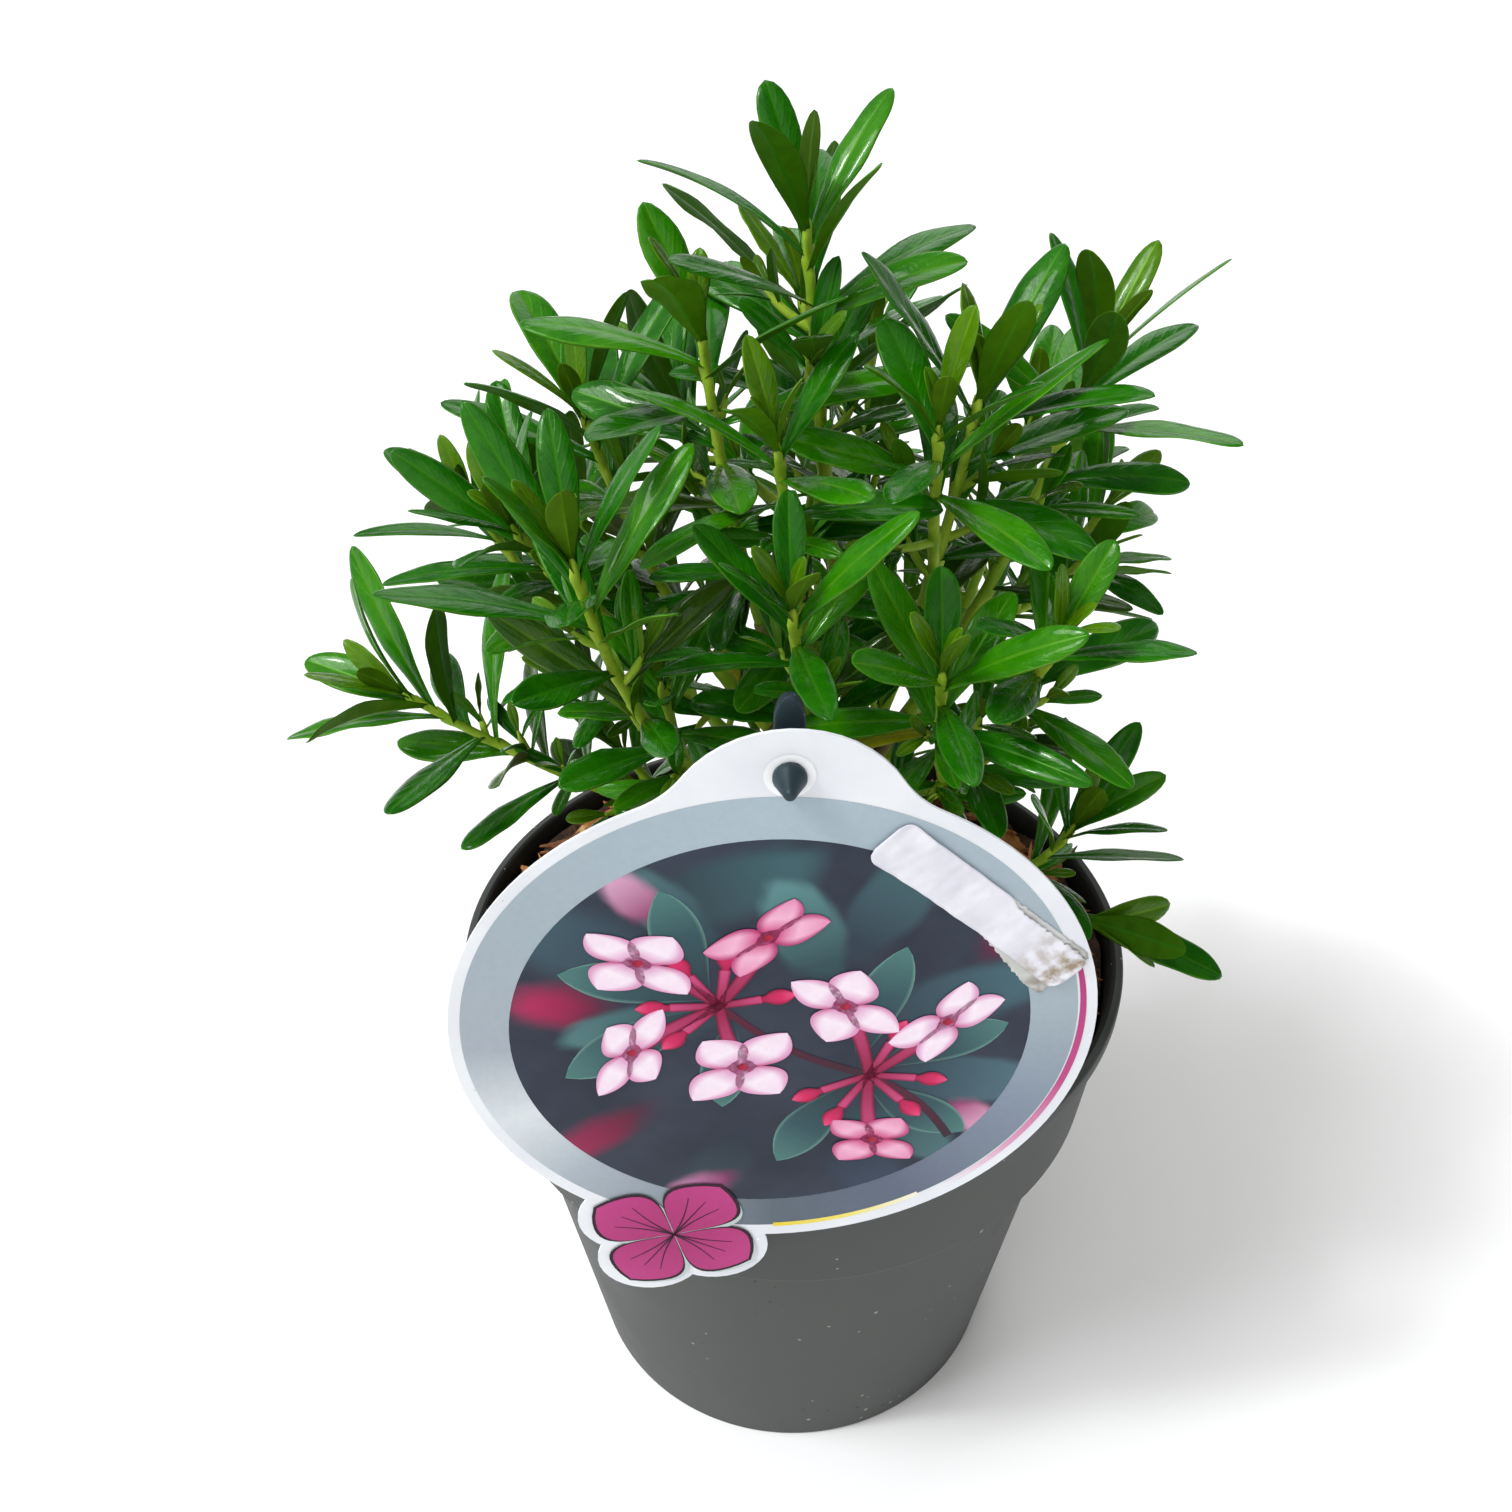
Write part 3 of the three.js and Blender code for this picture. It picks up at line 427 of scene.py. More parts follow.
def compost_body():
    """The whole fill: its lumpy top, and a plain side and bottom inside the pot's wall."""
    corners = [(0, 0, compost_height(0, 0))]
    for ring in range(1, COMPOST_RINGS + 1):
        radius = COMPOST_EDGE * ring / COMPOST_RINGS
        for cosine, sine in turns(COMPOST_SPOKES):
            x, y = radius * cosine, radius * sine
            lump = noise.fractal(Vector((x, y, 0)) * LUMP_SIZE, 0.9, 2.1, 4) * LUMP_HEIGHT
            corners.append((x, y, compost_height(x, y) + lump))
    shrunk = WALL + WALL_GAP
    below = [
        (BAND_RADIUS - shrunk, WAIST_HEIGHT + 1.5),
        (WAIST_RADIUS - shrunk, WAIST_HEIGHT - WALL),
        (FOOT_RADIUS - shrunk, FLOOR + 0.3),
    ]
    for radius, height in below:
        corners += [(radius * cosine, radius * sine, height) for cosine, sine in turns(COMPOST_SPOKES)]
    faces = [(0, 1 + k, 1 + (k + 1) % COMPOST_SPOKES) for k in range(COMPOST_SPOKES)]
    last = 1 + (COMPOST_RINGS + len(below) - 1) * COMPOST_SPOKES
    for start in range(1, last, COMPOST_SPOKES):
        outer = start + COMPOST_SPOKES
        for k in range(COMPOST_SPOKES):
            following = (k + 1) % COMPOST_SPOKES
            faces.append((start + k, outer + k, outer + following, start + following))
    faces.append(tuple(last + k for k in reversed(range(COMPOST_SPOKES))))
    return corners, faces


def rings_to_faces(rings, sides):
    """Faces between rings of corners, closed at both ends."""
    faces = []
    for start in range(0, (rings - 1) * sides, sides):
        for side in range(sides):
            here, there = start + side, start + (side + 1) % sides
            faces.append((here, there, there + sides, here + sides))
    faces.append(tuple(reversed(range(sides))))
    faces.append(tuple(range((rings - 1) * sides, rings * sides)))
    return faces


def gather(pile, corners, faces, *more):
    """Adds a body to a pile that becomes one piece, with what else the pile keeps of it."""
    base = len(pile[0])
    pile[0].extend(corners)
    pile[1].extend(tuple(base + i for i in face) for face in faces)
    for kept, added in zip(pile[2:], more):
        kept.extend(added)


def bark_chip(draw, centre, length, width, thickness, lie):
    """A slab of bark with ragged ends, as rings of corners along its length."""
    bow = draw.uniform(-CHIP_BOW, CHIP_BOW) * length
    corners = []
    for ring in range(CHIP_RINGS):
        along = ring / (CHIP_RINGS - 1) - 0.5
        girth = 1 - abs(2 * along) ** 3 * draw.uniform(*CHIP_TAPER)
        for side in range(CHIP_SIDES):
            turn = 2 * math.pi * (side + 0.5) / CHIP_SIDES
            ragged = draw.uniform(-CHIP_RAG, CHIP_RAG) if ring in (0, CHIP_RINGS - 1) else 0
            across = width * 0.5 * girth * math.cos(turn) * draw.uniform(*CHIP_UNEVEN)
            up = thickness * 0.5 * girth * math.sin(turn) * draw.uniform(*CHIP_LUMPY)
            spot = Vector((length * (along + ragged), across, up + bow * 4 * along * along))
            corners.append(centre + lie @ spot)
    return corners, rings_to_faces(CHIP_RINGS, CHIP_SIDES)


def scatter_chips():
    """All chips and splinters, gathered by colour into one pile each."""
    draw = random.Random(5)
    piles = {name: ([], []) for name in CHIP_COLOURS}
    for k in range(CHIPS + SPLINTERS):
        radius, turn = (COMPOST_EDGE - 1.5) * math.sqrt(draw.random()), draw.uniform(0, 2 * math.pi)
        x, y = radius * math.cos(turn), radius * math.sin(turn)
        if math.hypot(x - STEM_FOOT.x, y - STEM_FOOT.y) < BARE_RADIUS:
            continue
        if k < CHIPS:
            length = draw.uniform(*SHORT_CHIP) if draw.random() < SHORT_SHARE else draw.uniform(*LONG_CHIP)
            width, thickness = length * draw.uniform(*CHIP_BREADTH), draw.uniform(*CHIP_THICKNESS)
        else:
            length = draw.uniform(*SPLINTER)
            width, thickness = draw.uniform(*SPLINTER_BREADTH), draw.uniform(*SPLINTER_THICKNESS)
        lift = draw.uniform(*(LIFT if length < LARGE else LARGE_LIFT))
        steep = STEEP if length < LARGE else LARGE_STEEP
        lie = Matrix.Rotation(draw.uniform(0, 2 * math.pi), 3, "Z")
        lie @= Matrix.Rotation(math.radians(draw.uniform(-steep, steep)), 3, "Y")
        roll = draw.uniform(0, 2 * math.pi) if k >= CHIPS else math.radians(draw.uniform(-ROLL, ROLL))
        lie @= Matrix.Rotation(roll, 3, "X")
        radius = min(radius, COMPOST_EDGE - length / 2)
        x, y = radius * math.cos(turn), radius * math.sin(turn)
        centre = Vector((x, y, compost_height(x, y) + lift))
        name = draw.choices(list(CHIP_COLOURS), CHIP_SHARES)[0]
        gather(piles[name], *bark_chip(draw, centre, length, width, thickness, lie))
    return piles


fines = skin("compost_fines", FINES, 260.0, (1.0, 0.0008), Roughness=0.92)
piece("compost_fill", *compost_body(), [fines], "compost", ["compost"])
for chip_name, pile in scatter_chips().items():
    chip_skin = skin(
        chip_name, CHIP_COLOURS[chip_name], 420.0, (0.8, 0.0004), stretch=(1.0, 0.45, 1.0),
        Roughness=0.85, Specular_IOR_Level=0.3,
    )
    piece(chip_name, *pile, [chip_skin], "compost", smooth=False)


# ---- the growth rule ----
# A short woody stem forks into boughs. Each bough ends in a leafy stem with side
# shoots, and leaves follow the golden angle down every shoot from its growing tip.

STEM_RADIUS = 5.2
STEM_TAPER = 1.6
ROOT_FLARE = 3.2
ROOT_FLARE_HEIGHT = 5.0
ROOTS = 5
ROOT_SHARPNESS = 0.35
ROOT_TURN = 0.6
TIP_RADIUS = 0.75
TAPER = 0.0125
SIDE_BOW = 0.45
BOW_OUT, BOW_DOWN = 0.4, 0.3  # how far a full bow draws a limb's middle outwards and down
LIMB_STEPS = 40

GOLDEN_ANGLE = 137.5
TIP_GAP = 0.6  # from the growing tip to its first leaf
LEAF_STEP = 0.55  # between leaves there, and LEAF_STEP_GAIN more at each further one
LEAF_STEP_GAIN = 0.13
HEADING_RANGE = 24
TILT_AT_TIP = 11  # degrees from the shoot
TILT_GAIN = 6.5
TILT_MOST = 64
TILT_RANGE = 20
ROLL_RANGE = 40
GROWN_AT_TIP = 0.5
GROWN_GAIN = 0.12
GROWN_OLD = 0.85
OLD_RANK = 10
LENGTH_RANGE = 0.3
BROADER = 0.12  # how far a leaf's breadth is ahead of its length while it grows
SLIMMEST = 0.215  # a blade's width as a share of its length
SLIM_RANGE = 0.05
BEND_LEAST = 6
BEND_RANGE = 22
BEND_LAG = 0.6
BLADE_WIDEST = 0.58
STALK_SHARE = 0.14
LIGHT = Vector((0, -0.35, 0.937))
LEAF_FACING = 0.7
LEAF_LEVEL = 0.4
LEAF_CLIMB = 0.55
LEAF_CLEARANCE = 1.9
SISTER_CLEARANCE = 1.2
ROOT_SHARE = 0.35
SPOT_SPACING = 1.6
SPOT_REACH = 0.92
LIMB_ALLOWANCE = 0.9
FORK_MARGIN = (6.0, 3.0)
LOWEST_LEAF = 1.5
SIDE_BARE = 2.0
LEAF_TRIES = 7
CELL = 3.0
BUD_RANKS = (0, -1)
BUD_SPREAD = 0.8
TWIGS_FROM = 17.0
TWIG_GAP = (6.5, 14.0)
TWIG_REACH = (4.0, 9.0)
TWIG_BLADE = (12.0, 18.0)
TWIG_BARE = 1.2
TWIG_SLANT = (36, 68)
TWIG_LEAVES = (5, 8)
TWIG_SPREAD = (1.0, 1.35)
TWIG_BOW = 0.4
TWIG_LIFT = 0.25
TWIG_TRIES = 9
TWIG_LEAST = 3
TWIG_CLEARANCE = 1.3


# A shoot's growing tip, its number of leaves, the length of a full one, the turn of the
# first, how widely they spread, its seed, and for a side shoot where on the limb it starts.
Shoot = namedtuple("Shoot", "tip leaves blade turn spread seed start", defaults=[0])
# Each bough: the height where it leaves the stem, its bow (0 is a straight limb, 1 one
# that runs out first), the length of its leafy stem, and its leader and side shoots.
CROWN = {
    "top": (156, 0.2, 62, [
        Shoot((1, 5, 246), 17, 27, 20, 0.85, 459),
        Shoot((1, 30, 227), 14, 32, 208, 1.0, 914, 0.5),
    ]),
    "crown_left": (146, 0.7, 52, [
        Shoot((-14, -5, 234), 17, 30, 28, 1.25, 597),
    ]),
    "front_left": (138, 0.8, 62, [
        Shoot((-31, -35, 213), 18, 27, 348, 0.85, 457),
        Shoot((-21, -23, 185), 9, 20, 264, 1.25, 115, 0.48),
    ]),
    "left": (141, 0.55, 66, [
        Shoot((-35, 16, 212), 17, 31, 244, 0.92, 341),
        Shoot((-45, -4, 202), 14, 26, 132, 0.85, 341, 0.42),
        Shoot((-38, -2, 173), 8, 20, 330, 1.25, 509, 0.3),
    ]),
    "centre": (150, 0.45, 56, [
        Shoot((-3, -21, 223), 18, 25, 156, 1.25, 679),
    ]),
    "crown_right": (147, 0.4, 62, [
        Shoot((27, -5, 224), 17, 31, 188, 1.0, 534),
        Shoot((20, -15, 223), 10, 26, 96, 1.25, 649, 0.6),
    ]),
    "right_upper": (143, 0.35, 70, [
        Shoot((47, 10, 224), 17, 28, 112, 1.08, 729),
        Shoot((53, 23, 182), 12, 23, 128, 1.08, 669, 0.38),
    ]),
    "front_right": (135, 0.5, 60, [
        Shoot((38, -30, 197), 14, 25, 320, 1.25, 547),
        Shoot((20, -40, 198), 12, 24, 340, 1.08, 346, 0.45),
        Shoot((29, -24, 179), 8, 21, 208, 1.25, 548, 0.28),
    ]),
    "front": (143, 0.55, 50, [
        Shoot((-1, -38, 207), 15, 24, 352, 1.0, 88),
        Shoot((4, -34, 191), 8, 19, 345, 1.25, 642, 0.55),
    ]),
    "far_left": (124, 0.3, 72, [
        Shoot((-70, 4, 165), 17, 30, 272, 1.0, 313),
        Shoot((-32, 6, 151), 7, 22, 40, 1.25, 553, 0.24),
    ]),
    "far_right": (115, 0.9, 34, [
        Shoot((52, -4, 142), 10, 26, 280, 0.85, 897),
        Shoot((56, -11, 123), 4, 32, 135, 0.92, 836, 0.6),
    ]),
    "back_top": (150, 0.4, 60, [
        Shoot((14, 48, 212), 15, 28, 295, 1.0, 182),
        Shoot((-24, 46, 204), 13, 28, 150, 0.85, 331, 0.5),
    ]),
    "back_right": (133, 0.5, 74, [
        Shoot((44, 44, 200), 14, 28, 60, 1.0, 319),
        Shoot((48, 66, 166), 11, 28, 240, 0.85, 453, 0.4),
        Shoot((58, 34, 187), 9, 26, 100, 1.25, 151, 0.5),
    ]),
    "back": (129, 0.6, 74, [
        Shoot((4, 74, 178), 13, 28, 230, 1.25, 668),
        Shoot((34, 80, 146), 10, 27, 215, 1.08, 147, 0.45),
        Shoot((-32, 72, 148), 8, 27, 275, 1.16, 26, 0.4),
    ]),
    "back_left": (131, 0.6, 70, [
        Shoot((-46, 54, 176), 14, 28, 40, 0.85, 4),
        Shoot((-58, 28, 190), 12, 28, 275, 1.0, 448, 0.45),
    ]),
}


def seeded(seed):
    """A steady stream of numbers from 0 to 1 for one seed."""
    state = seed * 48271 % 2147483647
    for k in range(3):
        state = state * 16807 % 2147483647
    while True:
        state = state * 16807 % 2147483647
        yield state / 2147483647


def stem_at(height):
    return STEM_FOOT.lerp(STEM_TOP, (height - STEM_FOOT.z) / (STEM_TOP.z - STEM_FOOT.z))


class Limb:
    """A limb leaves its foot, runs outwards and bends up to its growing tip."""

    def __init__(self, foot, tip, bow):
        reach = tip - foot
        level, rise = 0.5 + BOW_OUT * bow, 0.5 - BOW_DOWN * bow
        self.foot, self.tip = foot, tip
        self.middle = foot + Vector((reach.x * level, reach.y * level, reach.z * rise))
        points = [self.at(k / LIMB_STEPS) for k in range(LIMB_STEPS + 1)]
        self.lengths = [0.0]
        for before, after in zip(points, points[1:]):
            self.lengths.append(self.lengths[-1] + (after - before).length)
        self.length = self.lengths[-1]

    def at(self, u):
        return curve(self.foot, self.middle, self.tip, u)

    def share_back(self, distance):
        """The curve's own parameter at a distance back from the growing tip."""
        along = self.length - distance
        for k in range(LIMB_STEPS):
            near, far = self.lengths[k], self.lengths[k + 1]
            if far >= along:
                return (k + (along - near) / (far - near)) / LIMB_STEPS
        return 1.0

    def back(self, distance):
        return self.at(self.share_back(distance))

    def axes(self, distance):
        """Directions along the limb and to two sides of it, at a distance back from its tip."""
        u = self.share_back(distance)
        along = ((self.middle - self.foot) * (1 - u) + (self.tip - self.middle) * u).normalized()
        side = along.cross(Vector((0, 1, 0))).normalized()
        return along, side, along.cross(side)


def radius_back(distance):
    return TIP_RADIUS + TAPER * distance


def leaf_distance(rank):
    return TIP_GAP + LEAF_STEP * rank + LEAF_STEP_GAIN * rank * rank


def towards(side, other, heading):
    """The direction across a limb at an angle from one of its sides."""
    return side * math.cos(heading) + other * math.sin(heading)


class Leaf:
    """One leaf's root, directions and sizes. The five draws are its share of chance."""

    def __init__(self, limb, plan, rank, draws):
        wander, lift, grow, girth, twist = [next(draws) for k in range(5)]
        along, side, other = limb.axes(leaf_distance(rank))
        heading = math.radians(plan.turn + (wander - 0.5) * HEADING_RANGE + GOLDEN_ANGLE * rank)
        outward = towards(side, other, heading)
        opened = min(TILT_AT_TIP + TILT_GAIN * rank, TILT_MOST)
        tilt = math.radians(plan.spread * opened + (lift - 0.5) * TILT_RANGE)
        grown = GROWN_OLD if rank > OLD_RANK else min(1, GROWN_AT_TIP + GROWN_GAIN * rank)
        roll = math.radians((twist - 0.5) * ROLL_RANGE)
        self.rank = rank
        self.root = limb.back(leaf_distance(rank))
        self.direction = along * math.cos(tilt) + outward * math.sin(tilt)
        normal = along * math.sin(tilt) - outward * math.cos(tilt)
        self.direction.z += LEAF_CLIMB * max(0, LEAF_LEVEL - self.direction.z)
        self.direction.normalize()
        normal += LIGHT * LEAF_FACING
        normal = (normal - self.direction * normal.dot(self.direction)).normalized()
        self.normal = normal * math.cos(roll) + self.direction.cross(normal) * math.sin(roll)
        self.length = plan.blade * grown * (1 + LENGTH_RANGE * (grow - 0.5))
        self.width = plan.blade * min(1, grown + BROADER) * (SLIMMEST + SLIM_RANGE * girth)
        self.bend = math.radians(BEND_LEAST + BEND_RANGE * twist)

    def midrib(self, share):
        angle = BEND_LAG * self.bend * share
        reach = self.length * share
        return self.root + self.direction * reach * math.cos(angle) - self.normal * reach * math.sin(angle)

    def half_width(self, share, widest=BLADE_WIDEST, stalk=STALK_SHARE, swell=1.3, blunt=1.8, end=0.72):
        """Half the width at a share of the length: a swell from the stalk, then a rounded end."""
        if share < widest:
            rise = math.sin(share / widest * math.pi / 2)
            return 0.5 * self.width * (stalk + (1 - stalk) * rise ** swell)
        past = (share - widest) / (1 - widest)
        return 0.5 * self.width * max(0, 1 - past ** blunt) ** end

    def spots(self):
        """Points all over the blade, each with its share of the length."""
        edge = self.direction.cross(self.normal)
        rows = max(4, math.floor(self.length / LEAF_CLEARANCE))
        for row in range(1, rows + 1):
            share = row / rows
            spine, half = self.midrib(share), SPOT_REACH * self.half_width(share)
            places = max(1, math.ceil(half / SPOT_SPACING))
            for place in range(-places, places + 1):
                yield spine + edge * (half * place / places), share


class Space:
    """The points that limbs and leaves already hold, in cells, so that no two shoots meet."""

    def __init__(self):
        self.cells = {}

    def cell(self, point):
        return tuple(math.floor(value / CELL) for value in point)

    def hold(self, spots, owner, radius=0.0):
        for point, share in spots:
            self.cells.setdefault(self.cell(point), []).append((point, share, owner, radius))

    def taken(self, spots, owner, clearance=LEAF_CLEARANCE):
        steps = (-1, 0, 1)
        for point, share in spots:
            x, y, z = self.cell(point)
            for near in ((x + i, y + j, z + k) for i in steps for j in steps for k in steps):
                for other, other_share, other_owner, radius in self.cells.get(near, ()):
                    if other_owner != owner:
                        clear = clearance + radius
                    elif min(share, other_share) > ROOT_SHARE:
                        clear = SISTER_CLEARANCE
                    else:
                        continue
                    if (point - other).length < clear:
                        return True
        return False


def grow_limbs():
    """Each bough's leader and side shoots, as (mass, number, shoot, limb, leafy length)."""
    grown = []
    for mass, (fork, bow, leafy, (first, *others)) in CROWN.items():
        leader = Limb(stem_at(fork), Vector(first.tip), bow)
        grown.append((mass, 0, first, leader, leafy))
        for number, spray in enumerate(others, 1):
            limb = Limb(leader.back((1 - spray.start) * leader.length), Vector(spray.tip), SIDE_BOW)
            grown.append((mass, number, spray, limb, limb.length - SIDE_BARE))
    return grown


def grow_leaves(limbs, space):
    """The leaves of every shoot from rank 1 down, each clear of all that grew before it."""
    grown = []
    for mass, number, spray, limb, leafy in limbs:
        owner = mass, number
        for rank in range(1, spray.leaves):
            if leaf_distance(rank) > leafy - LOWEST_LEAF:
                break
            draws = seeded(spray.seed * 100 + rank)
            for attempt in range(LEAF_TRIES):
                leaf = Leaf(limb, spray, rank, draws)
                spots = list(leaf.spots())
                if not space.taken(spots, owner):
                    space.hold(spots, owner)
                    grown.append(leaf)
                    break
    return grown


def twig_leaves(small, twig, owner, space):
    """The leaves of one short twig, each clear of the crown and of the ones above it."""
    own, grown = Space(), []
    for rank in range(small.leaves):
        if leaf_distance(rank) > twig.length - TWIG_BARE:
            break
        leaf = Leaf(twig, small, rank, seeded(small.seed + rank))
        spots = list(leaf.spots())
        if not (space.taken(spots, owner, TWIG_CLEARANCE) or own.taken(spots, owner)):
            own.hold(spots, owner)
            grown.append((leaf, spots))
    return grown


def side_twigs(limbs, space):
    """Short leafy twigs down the lower part of every shoot, where there is room for them."""
    draw = random.Random(23)
    grown, small_leaves = [], []
    for mass, number, spray, limb, leafy in limbs:
        owner = mass, number
        distance = TWIGS_FROM
        while distance < limb.length - FORK_MARGIN[min(number, 1)]:
            along, side, other = limb.axes(distance)
            for attempt in range(TWIG_TRIES):
                heading, slant = (math.radians(draw.uniform(*ends)) for ends in ((0, 360), TWIG_SLANT))
                leaning = along * math.cos(slant) + towards(side, other, heading) * math.sin(slant)
                leaning.z += TWIG_LIFT
                foot, reach = limb.back(distance), draw.uniform(*TWIG_REACH)
                tip = foot + leaning.normalized() * (reach + radius_back(distance))
                twig = Limb(foot, tip, TWIG_BOW)
                small = Shoot(
                    tip, draw.randint(*TWIG_LEAVES), draw.uniform(*TWIG_BLADE), draw.uniform(0, 360),
                    draw.uniform(*TWIG_SPREAD), draw.randint(1, 9999),
                )
                line = [(twig.back(k), 0) for k in range(math.floor(reach))]
                made = twig_leaves(small, twig, owner, space)
                if len(made) >= TWIG_LEAST and not space.taken(line, owner, TWIG_CLEARANCE):
                    space.hold(line, owner)
                    for leaf, spots in made:
                        space.hold(spots, owner)
                        small_leaves.append(leaf)
                    grown.append(twig)
                    break
            distance += draw.uniform(*TWIG_GAP)
    return grown, small_leaves


space = Space()
limbs = grow_limbs()
for mass, number, spray, limb, leafy in limbs:
    for distance in range(math.ceil(limb.length - FORK_MARGIN[min(number, 1)])):
        allowance = max(0, radius_back(distance) - LIMB_ALLOWANCE)
        space.hold([(limb.back(distance), 0)], (mass, number), allowance)
leaves = grow_leaves(limbs, space)
twigs, small_leaves = side_twigs(limbs, space)
leaves += small_leaves
for mass, number, spray, limb, leafy in limbs:
    for rank in BUD_RANKS:
        leaves.append(Leaf(limb, spray._replace(spread=BUD_SPREAD), rank, seeded(rank + 9)))


# ---- stem and boughs ----
# The old wood: a short brown stem with root flare and fine cracked bark, and the
# boughs that leave it, green-brown, with the scars of fallen leaves.

BARKS = (0.125, 0.078, 0.044, 1), (0.200, 0.150, 0.100, 1)
BOUGH_BARKS = (0.150, 0.110, 0.040, 1), (0.230, 0.330, 0.026, 1)
BARK_SPECKS = {"Light": BARKS[1], "Dark": BARKS[0], "Scale": 900.0}
STEM_SUNK = 0.9  # in the compost
STEM_STEP = 0.8
STEM_SIDES = 56
DOME = (0.7, 0.35)  # rise and inward turn of the rounded top, for each mm past the fork
CRACK_DEPTH = 0.45
CRACK_SHARPNESS = 3.2
CRACK_SIZE, CRACK_ROUND, CRACK_STRETCH = 0.55, 5, 0.35  # in all, round the stem and up it
BARK_SWELL = 0.25
BOUGH_SIDES = 20
BOUGH_STEP = 0.7
BOUGH_RELIEF = 0.12
SCAR_HEIGHT = 0.34
CUSHION_RANGE = 4  # how far along a limb a leaf's cushion shows
CUSHION_FALL = (2.2, 0.5)  # below the leaf and above it
GIRTH = 0.84  # of the room that the limbs keep free for themselves
TIP_SHARE = 0.4  # of the full girth, at the very tip
TIP_TAPER = 4.0
RELIEF_SIZE = 1.1


def old_stem():
    """The woody stem, from its flare in the compost to a rounded top inside the fork."""
    tall = STEM_TOP.z - STEM_FOOT.z
    corners = []
    rings = math.ceil(tall / STEM_STEP) + 3
    for ring in range(rings):
        level = -STEM_SUNK + ring * STEM_STEP
        rise, past = min(level, tall), max(0, level - tall)
        centre = stem_at(STEM_FOOT.z + rise) + Vector((0, 0, DOME[0] * past))
        for side in range(STEM_SIDES):
            turn = 2 * math.pi * side / STEM_SIDES
            flare = ROOT_FLARE * math.exp(-max(rise, 0) / ROOT_FLARE_HEIGHT)
            ridge = 1 + ROOT_SHARPNESS * math.cos(ROOTS * turn + ROOT_TURN)
            radius = STEM_RADIUS - STEM_TAPER * rise / tall + flare * ridge
            x, y = math.cos(turn), math.sin(turn)
            place = Vector((x * CRACK_ROUND, y * CRACK_ROUND, rise * CRACK_STRETCH))
            crack = abs(noise.fractal(place * CRACK_SIZE, 0.8, 2.0, 4))
            radius += BARK_SWELL - CRACK_DEPTH * (1 - min(1, CRACK_SHARPNESS * crack)) ** 2
            radius *= 1 - DOME[1] * past
            corners.append(centre + Vector((x, y, 0)) * radius)
    return corners, rings_to_faces(rings, STEM_SIDES)


def cushions(limb, turn, until):
    """Where leaves sit or sat on a limb: distance back from its tip and direction round it."""
    marks = []
    rank = 1
    while leaf_distance(rank) < until:
        distance = leaf_distance(rank)
        along, side, other = limb.axes(distance)
        marks.append((distance, towards(side, other, math.radians(turn + GOLDEN_ANGLE * rank))))
        rank += 1
    return marks


def limb_surface(limb, start, end, sides, step, marks, height, rough):
    """Rings of corners along a limb between two distances from its tip, with cushions and relief."""
    corners = []
    rings = max(3, math.ceil((start - end) / step) + 1)
    for ring in range(rings):
        distance = start + (end - start) * ring / (rings - 1)
        along, across, up = limb.axes(distance)
        centre = limb.back(distance)
        near = [(where, outward) for where, outward in marks if abs(where - distance) < CUSHION_RANGE]
        for side in range(sides):
            outward = towards(across, up, 2 * math.pi * side / sides)
            radius = GIRTH * radius_back(distance) * min(1, TIP_SHARE + distance / TIP_TAPER)
            for where, mark in near:
                below = distance - where
                lying = math.exp(-(below / CUSHION_FALL[below <= 0]) ** 2)
                radius += height * lying * max(0, outward.dot(mark)) ** 4
            relief = noise.noise((centre + outward * radius) * RELIEF_SIZE)
            corners.append(centre + outward * (radius + rough * relief))
    return corners, rings_to_faces(rings, sides)


old_bark = skin("old_bark", BARKS, 300.0, (0.7, 0.0004), BARK_SPECKS, (1.0, 1.0, 0.3), Roughness=0.85)
bough_bark = skin("bough_bark", BOUGH_BARKS, 90.0, (0.7, 0.00015), BARK_SPECKS, Roughness=0.62)
piece("stem_wood", *old_stem(), [old_bark], "old_bark", ["trunk"])

bough_pile = [], []
for mass, number, spray, limb, leafy in limbs:
    if number == 0:
        scars = cushions(limb, spray.turn, limb.length)
        relief = scars, SCAR_HEIGHT, BOUGH_RELIEF
        gather(bough_pile, *limb_surface(limb, limb.length, leafy, BOUGH_SIDES, BOUGH_STEP, *relief))
piece("bough_wood", *bough_pile, [bough_bark], "young_bark", [f"bough_{mass}" for mass in CROWN])


# ---- leafy stems ----
# The youngest wood: smooth yellow-green stems with a cushion under every leaf, which
# grow on from the boughs, and the short side twigs that stand in the lower leaf axils.

STEM_GREENS = (0.200, 0.370, 0.014, 1), (0.340, 0.490, 0.034, 1)
CUSHION_HEIGHT = 0.42
TWIG_SIDES = 14
TWIG_STEP = 0.6
STEM_RELIEF = 0.05
TWIG_RELIEF = 0.04

stem_pile = [], []
for mass, number, spray, limb, leafy in limbs:
    start = leafy if number == 0 else limb.length
    relief = cushions(limb, spray.turn, start), CUSHION_HEIGHT, STEM_RELIEF
    gather(stem_pile, *limb_surface(limb, start, 0, TWIG_SIDES, TWIG_STEP, *relief))
for twig in twigs:
    gather(stem_pile, *limb_surface(twig, twig.length, 0, TWIG_SIDES, TWIG_STEP, [], 0, TWIG_RELIEF))
stem_skin = skin(
    "stem_skin", STEM_GREENS, 160.0, (0.25, 0.0001), Roughness=0.5, Specular_IOR_Level=0.2,
)
piece("leafy_stems", *stem_pile, [stem_skin], "foliage")
